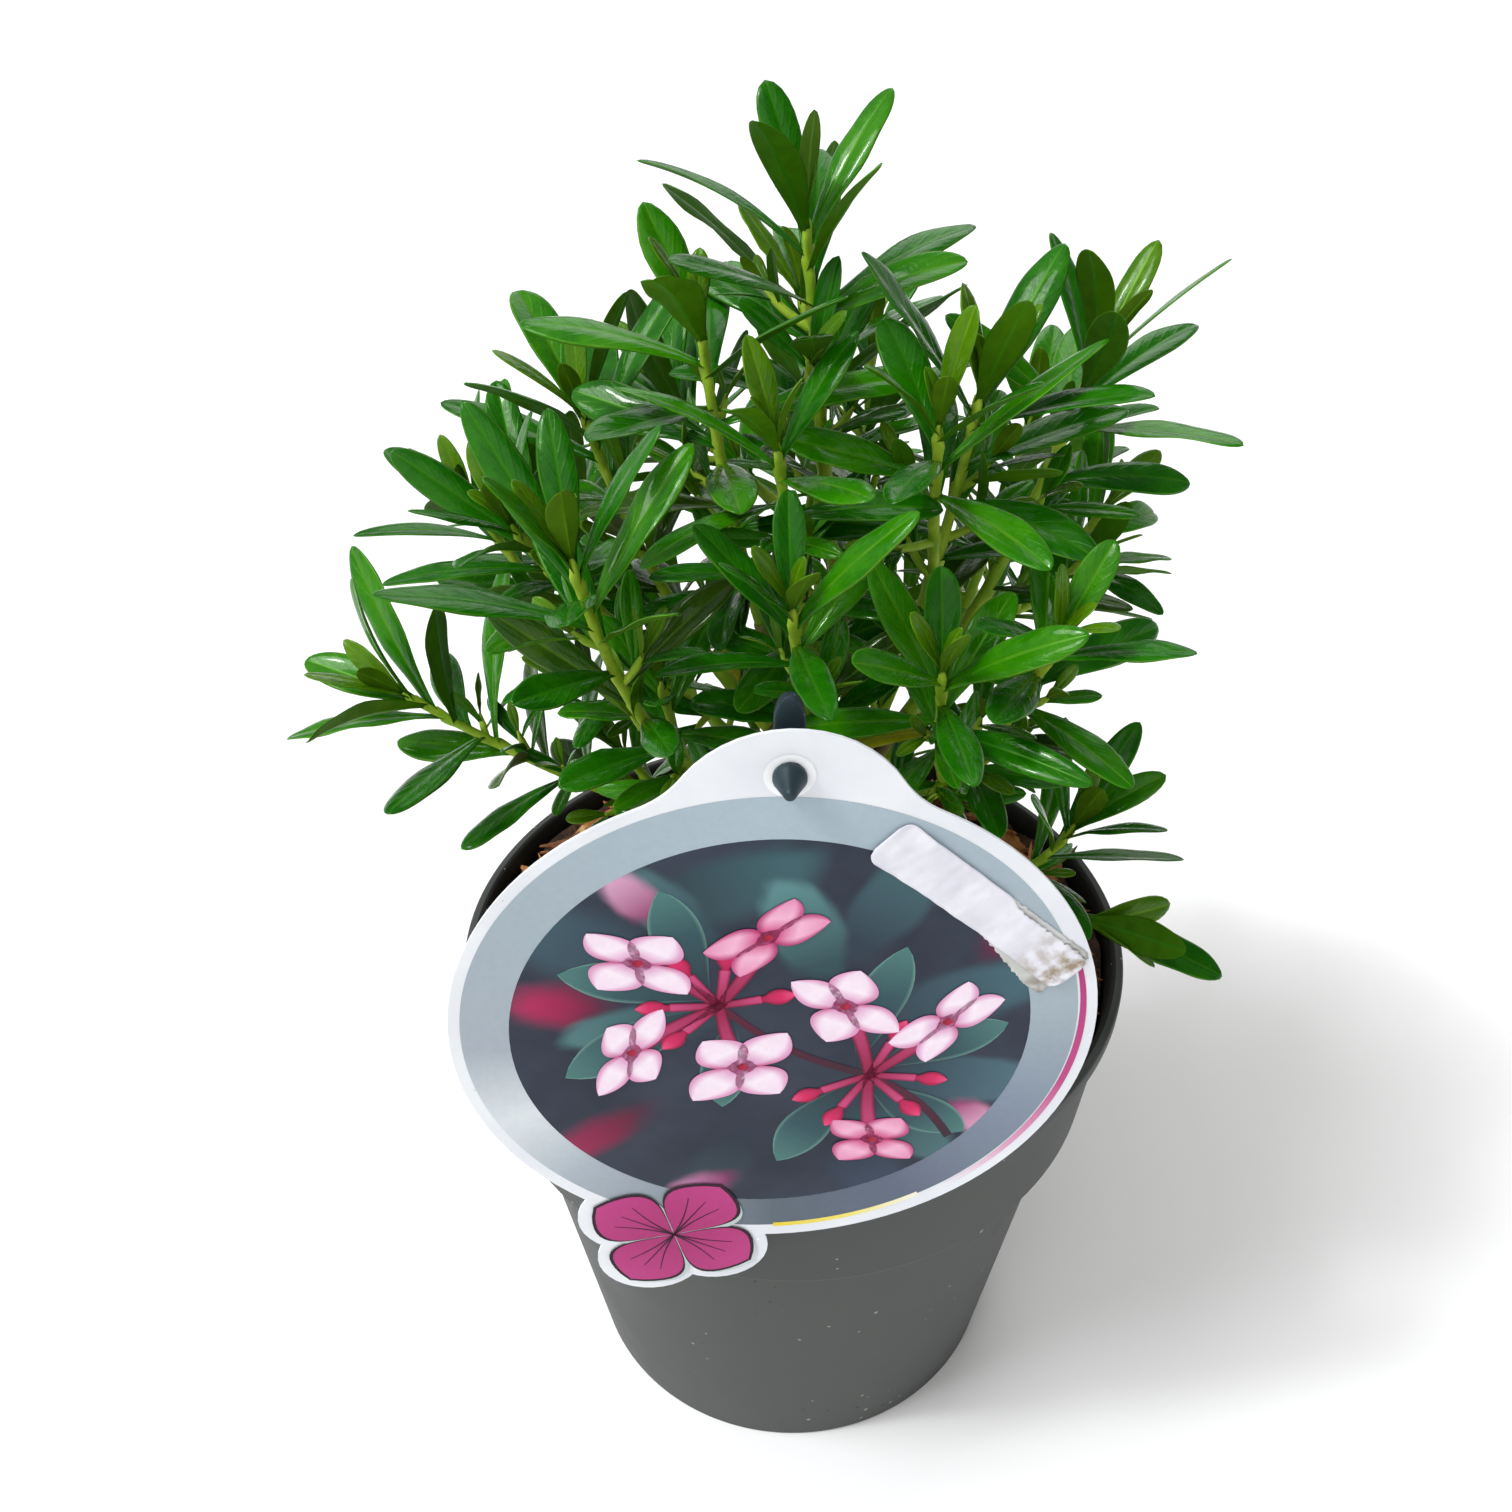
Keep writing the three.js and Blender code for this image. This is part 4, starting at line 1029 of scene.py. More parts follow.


# ---- leaves ----
# Evergreen leaves, leathery and glossy above, paler and matt below, with a sunken midrib
# and a highlight painted as a thin pale band along the edge. The young ones at the tips are yellower and
# stand up.

LONG_LEAF = 20.0
LONG_ROWS = 16
SHORT_ROWS = 10
ROW_CROWDING = 1.5  # rows lie closer together towards the leaf's tip
BLADE_PLACES = (-1, -0.9, -0.62, -0.34, -0.08, 0, 0.08, 0.34, 0.62, 0.9, 1)
BLADE_THICKNESS = 0.34
LEAST_HALF = 0.06
FULL_HALF = 1.2  # half the width from which on the blade has its full thickness
RIB_DEPTH = 0.16
RIB_SHARE = 0.08  # of the half width
GROOVE_SHARE = 0.2
# past this share across, the blade's outer faces take the pale colour painted as an edge highlight
EDGE_HIGHLIGHT_SHARE = 0.9
BASE_SHARE, BASE_SWELL = 0.22, 1.6
END_ROUNDNESS = 0.55
FOLD_CURVE, ROLL_CURVE, THINNING = 1.15, 3, 6  # powers of the share across
UNDER_GROOVE = 0.8  # of the groove above
FOLD, ROLL_OVER, TWIST = (0.10, 0.42), (0.10, 0.30), (-16, 16)
WAVES, WAVE_PHASE, WAVE_HEIGHT = (1.5, 3), (0, 6), (0, 0.10)
FULLEST, BLUNTNESS = (0.58, 0.67), (1.75, 2.4)
VEIN_PAIRS = 8.0
VEIN_SLANT = 4.4
UPPER, UNDER, RIB, EDGE_HIGHLIGHT = range(4)
# Each tint: the upper side's two greens, the underside, the midrib and the pale green painted along the edge
# as a highlight.
TINTS = {
    "deep": ((0.004, 0.082, 0.0002, 1), (0.013, 0.134, 0.0003, 1), (0.038, 0.135, 0.001, 1),
             (0.026, 0.135, 0.003, 1), (0.050, 0.165, 0.009, 1)),
    "fresh": ((0.012, 0.134, 0.0003, 1), (0.032, 0.190, 0.0005, 1), (0.062, 0.180, 0.001, 1),
              (0.060, 0.210, 0.006, 1), (0.090, 0.235, 0.016, 1)),
    "young": ((0.042, 0.140, 0.0010, 1), (0.080, 0.195, 0.0020, 1), (0.080, 0.175, 0.004, 1),
              (0.125, 0.265, 0.010, 1), (0.135, 0.270, 0.024, 1)),
    "aged": ((0.010, 0.050, 0.0030, 1), (0.034, 0.080, 0.0040, 1), (0.060, 0.090, 0.012, 1),
             (0.050, 0.120, 0.010, 1), (0.060, 0.110, 0.020, 1)),
    "yellow": ((0.460, 0.430, 0.010, 1), (0.330, 0.350, 0.010, 1), (0.420, 0.400, 0.030, 1),
               (0.520, 0.480, 0.040, 1), (0.420, 0.400, 0.050, 1)),
}
SHEEN_TINT = (0.50, 1.0, 0.26, 1)  # a leaf's skin reflects a greenish white
YELLOW_REACH = 26.0  # from the stem
YELLOW_HEIGHT = 180.0
YELLOW_CHANCE = 0.2
YOUNG_RANKS = 2
AGED_RANK = 11
AGED_CHANCE = 0.45
FRESH_CHANCE = 0.5


def blade_surface(leaf, draw):
    """A leaf's corners, faces, the kind of each face and each corner's place on the blade."""
    fold, roll, twist = (draw.uniform(*ends) for ends in (FOLD, ROLL_OVER, TWIST))
    waves, phase, wave = (draw.uniform(*ends) for ends in (WAVES, WAVE_PHASE, WAVE_HEIGHT))
    fullest, blunt = (draw.uniform(*ends) for ends in (FULLEST, BLUNTNESS))
    edge = leaf.direction.cross(leaf.normal)
    rows = LONG_ROWS if leaf.length > LONG_LEAF else SHORT_ROWS
    upper, under, upper_map, under_map = [], [], [], []
    for row in range(rows + 1):
        share = 1 - (1 - row / rows) ** ROW_CROWDING
        spine = leaf.midrib(share)
        swing = 2 * BEND_LAG * leaf.bend * share
        along = leaf.direction * math.cos(swing) - leaf.normal * math.sin(swing)
        flat = leaf.normal * math.cos(swing) + leaf.direction * math.sin(swing)
        turn = Matrix.Rotation(math.radians(twist) * share, 3, along)
        across, up = turn @ edge, turn @ flat
        half = leaf.half_width(share, fullest, BASE_SHARE, BASE_SWELL, blunt, END_ROUNDNESS)
        half = max(half, LEAST_HALF)
        thick = 0.5 * BLADE_THICKNESS * min(1, half / FULL_HALF)
        for place in BLADE_PLACES:
            out = abs(place)
            rise = half * (fold * out ** FOLD_CURVE - roll * out ** ROLL_CURVE)
            ripple = wave * math.sin(waves * 2 * math.pi * share + phase)
            rise += half * ripple * out ** 2 * (1 if place > 0 else -1)
            groove = RIB_DEPTH * max(0, 1 - out / GROOVE_SHARE) * (1 - share)
            spot = spine + across * half * place + up * rise
            rim = thick * (1 - out ** THINNING)
            upper.append(spot + up * (rim - groove))
            upper_map.append((0.5 + 0.5 * place, share))
            if out < 1:
                under.append(spot - up * (rim + UNDER_GROOVE * groove))
                under_map.append((0.5 + 0.5 * place, share))
    width, inner = len(BLADE_PLACES), len(BLADE_PLACES) - 2
    faces, kinds = [], []

    def below(row, column):
        """The underside's corner, which at the margin is the upper side's own."""
        if column in (0, width - 1):
            return row * width + column
        return len(upper) + row * inner + column - 1

    for row in range(rows):
        for column in range(width - 1):
            a = row * width + column
            faces.append((a, a + 1, a + 1 + width, a + width))
            middle = abs(BLADE_PLACES[column] + BLADE_PLACES[column + 1]) / 2
            # the outer strips of the upper side take the pale band painted as an edge highlight
            kinds.append(RIB if middle < RIB_SHARE else EDGE_HIGHLIGHT if middle > EDGE_HIGHLIGHT_SHARE else UPPER)
            near, far = below(row, column), below(row + 1, column)
            faces.append((near, far, below(row + 1, column + 1), below(row, column + 1)))
            kinds.append(RIB if middle < RIB_SHARE else UNDER)
    # the caps at the stalk and the tip take the painted edge highlight too
    for row in (0, rows):
        loop = [row * width + column for column in range(width)]
        loop += [below(row, column) for column in range(width - 2, 0, -1)]
        faces.append(tuple(loop if row else reversed(loop)))
        kinds.append(EDGE_HIGHLIGHT)
    return upper + under, faces, kinds, upper_map + under_map


def across_and_along(tree):
    """A piece's own two shares, from its map, and how far across a point is from the middle."""
    place = add(tree, "UVMap", uv_map="map").outputs[0]
    across, along = add(tree, "SeparateXYZ", {0: place}).outputs[:2]
    return across, along, maths(tree, "ABSOLUTE", maths(tree, "SUBTRACT", across, 0.5))


def veins_group():
    """Faint side veins that leave the midrib at a slant, from a leaf's own map."""
    tree, given, result = shader_group("veins", {}, ["Height", "Out"])
    across, along, out = across_and_along(tree)
    run = maths(tree, "MULTIPLY", along, VEIN_PAIRS)
    phase = maths(tree, "SUBTRACT", run, maths(tree, "MULTIPLY", out, VEIN_SLANT))
    wave = maths(tree, "SINE", maths(tree, "MULTIPLY", phase, 2 * math.pi))
    return give(tree, result, Height=carry(tree, wave, 0.4, 1.0), Out=out)


VEINS = veins_group()


def leaf_skins(tint):
    """The four materials of one tint: upper side, underside, midrib, and the pale edge painted as a
    highlight.
    """
    first, second, pale, rib_colour, edge_highlight_colour = TINTS[tint]
    upper, tree, shader, clouds = mottled(
        f"{tint}_upper", (first, second), 150.0, rough=(0.19, 0.31), Specular_IOR_Level=0.15,
        Specular_Tint=SHEEN_TINT, Coat_Weight=0.27, Coat_Roughness=0.08,
    )
    veins = use(tree, VEINS)
    near = carry(tree, veins["Out"], 0.0, 0.5, 0.35, 0.0)
    tree.links.new(blend(tree, near, clouds["Color"], second), shader.inputs["Base Color"])
    pucker = use(tree, MOTTLE, Scale=260.0)["Height"]
    relief = maths(tree, "ADD", maths(tree, "MULTIPLY", veins["Height"], 0.5), pucker)
    bump(tree, shader, relief, 0.32, 0.00034)
    darker = tuple(0.8 * value for value in pale[:3]) + (1,)
    matt = {"Roughness": 0.6, "Specular_IOR_Level": 0.25, "Specular_Tint": SHEEN_TINT}
    smooth = {"Roughness": 0.35, "Specular_IOR_Level": 0.4, "Specular_Tint": SHEEN_TINT}
    return [
        upper,
        skin(f"{tint}_under", (pale, darker), 300.0, (0.3, 0.0001), **matt),
        skin(f"{tint}_rib", (rib_colour, second), 230.0, **smooth),
        # a paler green painted along the edge as a highlight
        skin(f"{tint}_margin", (edge_highlight_colour, second), 230.0, **smooth),
    ]


def tint_of(leaf, draw):
    """Young leaves at the tips, aged ones low down, a few yellow ones deep inside."""
    chance = draw.random()
    inside = math.hypot(leaf.root.x - STEM_TOP.x, leaf.root.y - STEM_TOP.y) < YELLOW_REACH
    if inside and leaf.root.z < YELLOW_HEIGHT and chance > 1 - YELLOW_CHANCE:
        return "yellow"
    if leaf.rank < YOUNG_RANKS and leaf.length < LONG_LEAF:
        return "young"
    if leaf.rank > AGED_RANK and chance < AGED_CHANCE:
        return "aged"
    return "fresh" if chance < FRESH_CHANCE else "deep"


leaf_piles = {tint: ([], [], [], []) for tint in TINTS}
chance = random.Random(11)
for leaf in leaves:
    gather(leaf_piles[tint_of(leaf, chance)], *blade_surface(leaf, chance))
for tint, (corners, faces, kinds, spots) in leaf_piles.items():
    stands_for = [f"mass_{mass}" for mass in CROWN] if tint == "deep" else []
    piece(f"leaves_{tint}", corners, faces, leaf_skins(tint), "foliage", stands_for, kinds=kinds, maps=spots)


# ---- label ----
# A die-cut plate of white plastic with a picture of daphne blossom in a grey ring,
# printed in layers of ink, with a painted highlight in the ring. It hangs by the hole in its tab.

LABEL_CENTRE = Vector((-3.2, -66.4, 150.7))  # middle of its front face
LABEL_TURN = math.radians(3)
LABEL_RIGHT = Vector((math.cos(LABEL_TURN), math.sin(LABEL_TURN), 0))
LABEL_UP = Vector((0, 0, 1))
LABEL_FRONT = LABEL_RIGHT.cross(LABEL_UP)
TAB_HOLE = (1.9, 48.3)
TAB_HOLE_RADIUS = 2.1
INK = 0.03  # thickness of one layer of print
INK_GLOSS = 0.14
RING_CENTRE = (-0.57, 0.4)
PICTURE_RADIUS = 37.8
RING_RADIUS = 44.7


def tone(code):
    """A colour as printers write it, six hexadecimal digits, as the linear colour of a shader."""
    parts = [int(code[k:k + 2], 16) / 255 for k in (0, 2, 4)]
    return tuple(c / 12.92 if c <= 0.04045 else ((c + 0.055) / 1.055) ** 2.4 for c in parts) + (1,)


def on_label(u, v, lift=0.0):
    """A point over the label's front face, to the right of its middle, above it and in front of it."""
    return LABEL_CENTRE + LABEL_RIGHT * u + LABEL_UP * v + LABEL_FRONT * lift


def round_spot(centre, radius, turn):
    return centre[0] + radius * math.cos(turn), centre[1] + radius * math.sin(turn)


def ramp(tree, share, stops):
    """Printers' colours dealt out along a value from 0 to 1, as (place, colour) stops."""
    node = add(tree, "ValToRGB", {0: share})
    elements = node.color_ramp.elements
    while len(elements) < len(stops):
        elements.new(0.5)
    for element, (place, colour) in zip(elements, stops):
        element.position = place
        element.color = tone(colour)
    return node.outputs[0]


def ink(name, stops, edge_stops=None, edge=0.25):
    """A printed colour that changes along a shape, with the edge colours mixed in towards its sides."""
    made, tree, shader = material(name, Roughness=0.4, Specular_IOR_Level=INK_GLOSS)
    across, along, out = across_and_along(tree)
    colour = ramp(tree, along, stops)
    if edge_stops:
        colour = blend(tree, ease(tree, out, edge, 0.5), colour, ramp(tree, along, edge_stops))
    dots = grain(tree, own_place(tree), 900.0)
    faint = carry(tree, dots, 0.0, 1.0, 0.0, 0.12)
    tree.links.new(blend(tree, faint, colour, tone("101820")), shader.inputs["Base Color"])
    bump(tree, shader, dots, 0.1, 0.00003)
    return made


class Print:
    """Shapes of one ink, gathered flat on the label: corners, faces and each corner's UV."""

    def __init__(self, layer):
        self.lift = layer * INK
        self.corners, self.faces, self.spots = [], [], []

    def grid(self, rows, columns, shape):
        """A patch of rows and columns. shape gives (u, v) for shares across and along."""
        base = len(self.corners)
        for row in range(rows + 1):
            for column in range(columns + 1):
                across, along = column / columns, row / rows
                self.corners.append(on_label(*shape(across, along), self.lift))
                self.spots.append((across, along))
        for row in range(rows):
            for column in range(columns):
                a = base + row * (columns + 1) + column
                self.faces.append((a, a + 1, a + columns + 2, a + columns + 1))

    def arc(self, inner, outer, start, end, steps, taper=0.0):
        """Part of a ring about the print's middle, between two angles in degrees."""

        def shape(across, along):
            slim = taper * (2 * along - 1) ** 2 * (outer - inner) / 2
            radius = inner + slim + (outer - inner - 2 * slim) * across
            return round_spot(RING_CENTRE, radius, math.radians(start + (end - start) * along))

        self.grid(steps, 2, shape)

    def blade(self, root, heading, length, width, widest=0.6, bend=0.0, slant=(1, 0, 1), foot=0.0):
        """A leaf or petal: widest at a share of its length, bent sideways, seen at a slant."""
        turn = math.radians(heading)

        def shape(across, along):
            swell = max(0, math.sin(math.pi * along ** (math.log(0.5) / math.log(widest)))) ** 0.8
            swell = max(swell, foot * (1 - along)) if along < widest else swell
            side = (across - 0.5) * width * swell + bend * along * along
            x = along * length * math.cos(turn) - side * math.sin(turn)
            y = along * length * math.sin(turn) + side * math.cos(turn)
            spread, shear, rise = slant
            return root[0] + x * spread + y * shear, root[1] + y * rise

        self.grid(16, 6, shape)

    def bar(self, start, end, width, flare=1.0, bend=0.0):
        """A stalk or tube between two points, wider at its end by flare."""
        (x, y), (x2, y2) = start, end
        length = math.hypot(x2 - x, y2 - y)
        right = ((y2 - y) / length, (x - x2) / length)

        def shape(across, along):
            side = (across - 0.5) * width * (1 + (flare - 1) * along) + bend * math.sin(math.pi * along)
            return x + (x2 - x) * along + right[0] * side, y + (y2 - y) * along + right[1] * side

        self.grid(10, 4, shape)

    def made(self, name, *colours):
        skins = [ink(f"{name}_ink", *colours)]
        return piece(name, self.corners, self.faces, skins, "label", maps=self.spots)


label_specks = {"Light": tone("ffffff"), "Dark": tone("6a6660"), "Scale": 420.0, "Size": 0.13}
label_white = skin(
    "label_white", (tone("e4e7eb"), tone("dbdee4")), 45.0, (0.12, 0.00005), label_specks,
    Roughness=0.4, Specular_IOR_Level=INK_GLOSS,
)
for slot_of_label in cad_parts["label"].material_slots:
    slot_of_label.material = label_white

ring, arc, line = Print(1), Print(2), Print(2)
ring.arc(PICTURE_RADIUS, RING_RADIUS, -180, 180, 240)
# the ring's print grades from pale at the top to dark at the foot; the pale stop near the lower left is a
# painted highlight
ring.made("label_ring", [
    (0, "a4adb7"), (0.06, "d6dde1"), (0.12, "a6b1bb"), (0.25, "5c6873"), (0.33, "5f697c"),
    (0.44, "8491a2"), (0.52, "a2b0b9"), (0.75, "a9bac5"), (0.9, "a2b0b9"), (1, "a4adb7"),
])
arc.arc(44.9, 46.0, 16, -52, 60, taper=0.3)
arc.made("label_arc", [(0, "b23c78"), (0.45, "bd4a86"), (0.75, "dc9dbd"), (1, "eceaf0")])
line.arc(44.2, 45.2, -90, -58, 40)
line.made("label_line", [(0, "e6cf3c"), (0.5, "efe072"), (1, "f2f0dc")])


# ---- picture on the label ----
# A printed picture: dark blurred leaves, and in front of them two heads of
# four-petalled blossom on rosy tubes, with buds, on an arching twig.

PICTURE_SPAN = 2 * PICTURE_RADIUS
PICTURE_SIDES = 120
DUSK = tone("262c3a"), tone("343c4a")
SOFT_REACH = 1.15  # of a blurred shape, as a share of its half length
SOFT_WOBBLE = 0.35
# Each blurred shape: middle, heading, half length, half width, colour at its root and tip, blur.
BLURS = [
    ((-26, 20), 150, 19, 9, "2c3646", "41606a", 0.6),
    ((-6, 30), 20, 17, 7, "2a3440", "3f666c", 0.5),
    ((16, 27), 60, 15, 6, "2c3a48", "4a7076", 0.35),
    ((27, 8), 20, 17, 7, "2f3f4c", "466a74", 0.45),
    ((30, -10), -8, 14, 6, "2e4450", "52727e", 0.3),
    ((14, -30), -60, 15, 7, "232b38", "3c4c62", 0.5),
    ((-9, -29), 240, 13, 6, "27313e", "37494f", 0.5),
    ((-28, -20), 215, 15, 5, "5a1630", "a82c5c", 0.7),
    ((-31, 9), 170, 10, 6, "6e1438", "c02a62", 0.75),
    ((4, 22), 110, 12, 6, "2f4a50", "5c8a8c", 0.3),
    ((-20, 4), 190, 14, 5, "2e4850", "507a7c", 0.35),
    ((-15, 27), 130, 11, 5, "2f4650", "4f7276", 0.35),
    ((33, 20), 40, 8, 5, "5e1a3c", "a84478", 0.7),
    ((-19, 29), 125, 7, 4, "8c3c68", "dcaccb", 0.5),
    ((31, -19), -50, 7, 4, "a04a78", "e6bcd6", 0.5),
    ((-12, -33), 200, 8, 4, "7c3060", "cf98bd", 0.6),
    ((20, -22), -35, 12, 5, "29434c", "4b6e72", 0.3),
]


def soft_blade_group():
    """A blurred leaf in a picture: a tapered oval, darker at its root, over a colour."""
    takes = {
        "Color": GREY, "Root": GREY, "Tip": GREY, "Place": EVEN, "Turn": EVEN, "Size": EVEN, "Blur": 0.4,
    }
    tree, given, result = shader_group("soft_blade", takes, ["Color"])
    place = add(tree, "UVMap", uv_map="map").outputs[0]
    lie = {"Location": given["Place"], "Rotation": given["Turn"], "Scale": given["Size"]}
    own = add(tree, "Mapping", {"Vector": place, **lie}, vector_type="TEXTURE").outputs[0]
    wobble = maths(tree, "MULTIPLY", grain(tree, own, 1.6, Detail=1.0), SOFT_WOBBLE)
    distance = add(tree, "VectorMath", {0: own}, operation="LENGTH").outputs["Value"]
    inner = maths(tree, "SUBTRACT", SOFT_REACH, given["Blur"])
    mask = ease(tree, maths(tree, "ADD", distance, wobble), inner, SOFT_REACH, 1.0, 0.0)
    length = add(tree, "SeparateXYZ", {0: own}).outputs[0]
    tint = blend(tree, carry(tree, length, -0.6, 0.9), given["Root"], given["Tip"])
    return give(tree, result, Color=blend(tree, mask, given["Color"], tint))


SOFT_BLADE = soft_blade_group()


def picture_ink():
    made, tree, shader, clouds = mottled(
        "picture_ink", DUSK, 30.0, (0.08, 0.00003), Roughness=0.36, Specular_IOR_Level=INK_GLOSS,
    )
    colour = clouds["Color"]
    for middle, heading, long, wide, root, tip, blur in BLURS:
        u, v = ((part - centre) / PICTURE_SPAN for part, centre in zip(middle, RING_CENTRE))
        size = (long / PICTURE_SPAN, wide / PICTURE_SPAN, 1)
        colour = use(
            tree, SOFT_BLADE, Color=colour, Root=tone(root), Tip=tone(tip), Place=(u + 0.5, v + 0.5, 0),
            Turn=(0, 0, math.radians(heading)), Size=size, Blur=blur,
        )["Color"]
    tree.links.new(colour, shader.inputs["Base Color"])
    return made


picture_corners, picture_spots = [on_label(*RING_CENTRE, INK)], [(0.5, 0.5)]
for cosine, sine in turns(PICTURE_SIDES):
    reach = Vector((cosine, sine))
    picture_corners.append(on_label(*(Vector(RING_CENTRE) + reach * PICTURE_RADIUS), INK))
    picture_spots.append((0.5 + 0.5 * reach.x, 0.5 + 0.5 * reach.y))
picture_faces = [(0, 1 + k, 1 + (k + 1) % PICTURE_SIDES) for k in range(PICTURE_SIDES)]
piece("label_picture", picture_corners, picture_faces, [picture_ink()], "label", maps=picture_spots)

# The printed plant's two heads: the tubes' common root; each blossom's place, the heading
# of its first petal, how it is seen at a slant, its size and whether it is rosy; the buds.
HEADS = [
    ((-8, 8), [
        ((-19, 17), 32, (1.0, -0.35, 0.72), 1.05, False),
        ((-1, 21), 10, (0.85, 0.45, 0.85), 0.95, True),
        ((-21, -1), 60, (0.72, 0.3, 1.0), 1.0, False),
        ((-5, -5), 48, (1.05, 0.1, 0.8), 1.1, False),
    ], [(-12, 14), (-7, 15), (-15, 8), (-2, 9), (-13, 3)]),
    ((14, -8), [
        ((25, 3), 18, (0.75, 0.4, 0.95), 1.0, False),
        ((15, -23), 40, (1.05, -0.25, 0.7), 0.95, True),
        ((10, 7), 52, (1.0, -0.3, 0.85), 1.0, False),
    ], [(21, -9), (19, -14), (7, -11), (17, -1), (10, -15)]),
]
PETAL_LENGTH = 9.4
PETAL_WIDTH = 7.0
PETAL_FOOT = 0.5
PETAL_TURNS = (7, -6, 4, -8)
PETAL_SHARES = (1.0, 0.92, 1.06, 0.96)
PETAL_BENDS = (0.5, -0.4)
PICTURE_BUD = (5.0, 3.1)
# Sharp leaves: root, heading, length, width and bend.
PRINTED_LEAVES = [
    ((-8, 8), 207, 27, 8.5, 2), ((-9, 9), 112, 22, 7.5, -2), ((-6, 6), 258, 20, 7, 2),
    ((13, -9), 316, 21, 8, 2), ((14, -7), 30, 22, 8, -2), ((12, -9), 232, 22, 8, 2),
    ((12, -6), 80, 25, 7.5, -2), ((-7, 9), 160, 24, 8, 2),
]
TWIG_PATH = [((27, -23), (14, -8), 1.5), ((14, -8), (-8, 8), -2.0)]
PRINTED_LEAF_WIDEST = 0.62
# Width at the start, and how many times as wide the end is.
PRINTED_TWIG, PRINTED_TUBE, BUD_TUBE = (1.5, 0.8), (1.6, 1.7), (1.3, 1.3)
TUBE_BEND = 0.5
THROAT = (1.6, 1.3)

leaf_print, twig_print, tube_print, bud_print = Print(2), Print(3), Print(4), Print(5)
pale_print, rose_print, throat_print = Print(6), Print(6), Print(7)
for root, heading, length, width, bend in PRINTED_LEAVES:
    leaf_print.blade(root, heading, length, width, PRINTED_LEAF_WIDEST, bend)
for start, end, bend in TWIG_PATH:
    twig_print.bar(start, end, *PRINTED_TWIG, bend)
for root, blossoms, buds in HEADS:
    for place, heading, slant, size, rosy in blossoms:
        tube_print.bar(root, place, *PRINTED_TUBE, TUBE_BEND)
        petals = rose_print if rosy else pale_print
        for k in range(4):
            turned = heading + 90 * k + PETAL_TURNS[k]
            length = size * PETAL_LENGTH * PETAL_SHARES[k]
            width, bend = size * PETAL_WIDTH, PETAL_BENDS[k % 2]
            petals.blade(place, turned, length, width, 0.5, bend, slant, PETAL_FOOT)
        throat_print.blade((place[0] - THROAT[0] / 2, place[1]), 0, *THROAT, 0.5)
for root, blossoms, buds in HEADS:
    for bud in buds:
        tube_print.bar(root, bud, *BUD_TUBE)
        heading = math.degrees(math.atan2(bud[1] - root[1], bud[0] - root[0]))
        bud_print.blade(bud, heading, *PICTURE_BUD, 0.5, foot=0.45)

leaf_print.made(
    "picture_leaves", [(0, "232d36"), (0.6, "33525a"), (1, "4d7a76")],
    [(0, "2a3a42"), (1, "6d9a90")], 0.4,
)
twig_print.made("picture_twig", [(0, "3a2430"), (1, "5a1c34")])
tube_print.made("picture_tubes", [(0, "8c1440"), (1, "c84a7c")], [(0, "5e0c2a"), (1, "96204e")], 0.2)
bud_print.made(
    "picture_buds", [(0, "a81a4c"), (0.6, "d02860"), (1, "e0507e")],
    [(0, "780e34"), (1, "b01c50")], 0.2,
)
pale_print.made(
    "picture_petals", [(0, "b03068"), (0.18, "dca0c8"), (0.45, "f4e6f2"), (1, "efd8ea")],
    [(0, "b8386e"), (0.5, "d890bc"), (1, "e0a4cc")], 0.22,
)
rose_print.made(
    "picture_rosy_petals", [(0, "a02058"), (0.2, "d0608e"), (0.5, "eeb4d0"), (1, "e08cb4")],
    [(0, "a82860"), (1, "cc5a90")], 0.22,
)
throat_print.made("picture_throats", [(0, "86142e"), (1, "b82a46")])


# ---- badge at the label's foot ----
# A plain four-petalled blossom printed in magenta with a dark outline and a soft
# grey shadow, on the lobed corner of the plate.

BADGE_CENTRE = (-17, -45.5)
SHADOW_CENTRE = (BADGE_CENTRE[0] + 0.9, BADGE_CENTRE[1] - 0.9)
BADGE_TURN = 57
BADGE_PETAL = (14.5, 12.5)
OUTLINE = 0.55
VEIN_LENGTH = 10
VEIN_SPREAD = 17  # degrees between a petal's three veins
VEIN_WIDTH, VEIN_FLARE, VEIN_BEND = 0.35, 0.4, 0.4

shadow_print, outline_print, badge_print, vein_print = Print(8), Print(9), Print(10), Print(11)
for k in range(4):
    heading = BADGE_TURN + 90 * k
    length, width = BADGE_PETAL
    shadow_print.blade(SHADOW_CENTRE, heading, length, width)
    outline_print.blade(BADGE_CENTRE, heading, length + OUTLINE, width + 2 * OUTLINE)
    badge_print.blade(BADGE_CENTRE, heading, length, width)
    for side in (-1, 0, 1):
        end = round_spot(BADGE_CENTRE, VEIN_LENGTH, math.radians(heading + VEIN_SPREAD * side))
        vein_print.bar(BADGE_CENTRE, end, VEIN_WIDTH, VEIN_FLARE, VEIN_BEND * side)
shadow_print.made("badge_shadow", [(0, "b4c0c0"), (1, "c6d0d0")])
outline_print.made("badge_outline", [(0, "2a1424"), (1, "2a1424")])
badge_print.made("badge_blossom", [(0, "a42e6c"), (1, "b93d80")])
vein_print.made("badge_veins", [(0, "3c1430"), (1, "3c1430")])


# ---- paper strip ----
# A blank sticker stuck across the print, creased and soiled at one end, with the
# torn edge of an older one showing under it.

STRIP_CENTRE = (28.4, 25.1)
STRIP_LENGTH, STRIP_WIDTH = 38.0, 7.8
STRIP_TURN = math.radians(-43)
STRIP_CORNER = 1.9
STRIP_ROWS, STRIP_COLUMNS = 20, 96
CREASES, FINE_CREASES = (0.22, 0.12), (0.7, 0.35)  # turns a mm, along and across
SOILED_END = (0.68, 0.95)  # where along the strip the dirt starts and is thickest


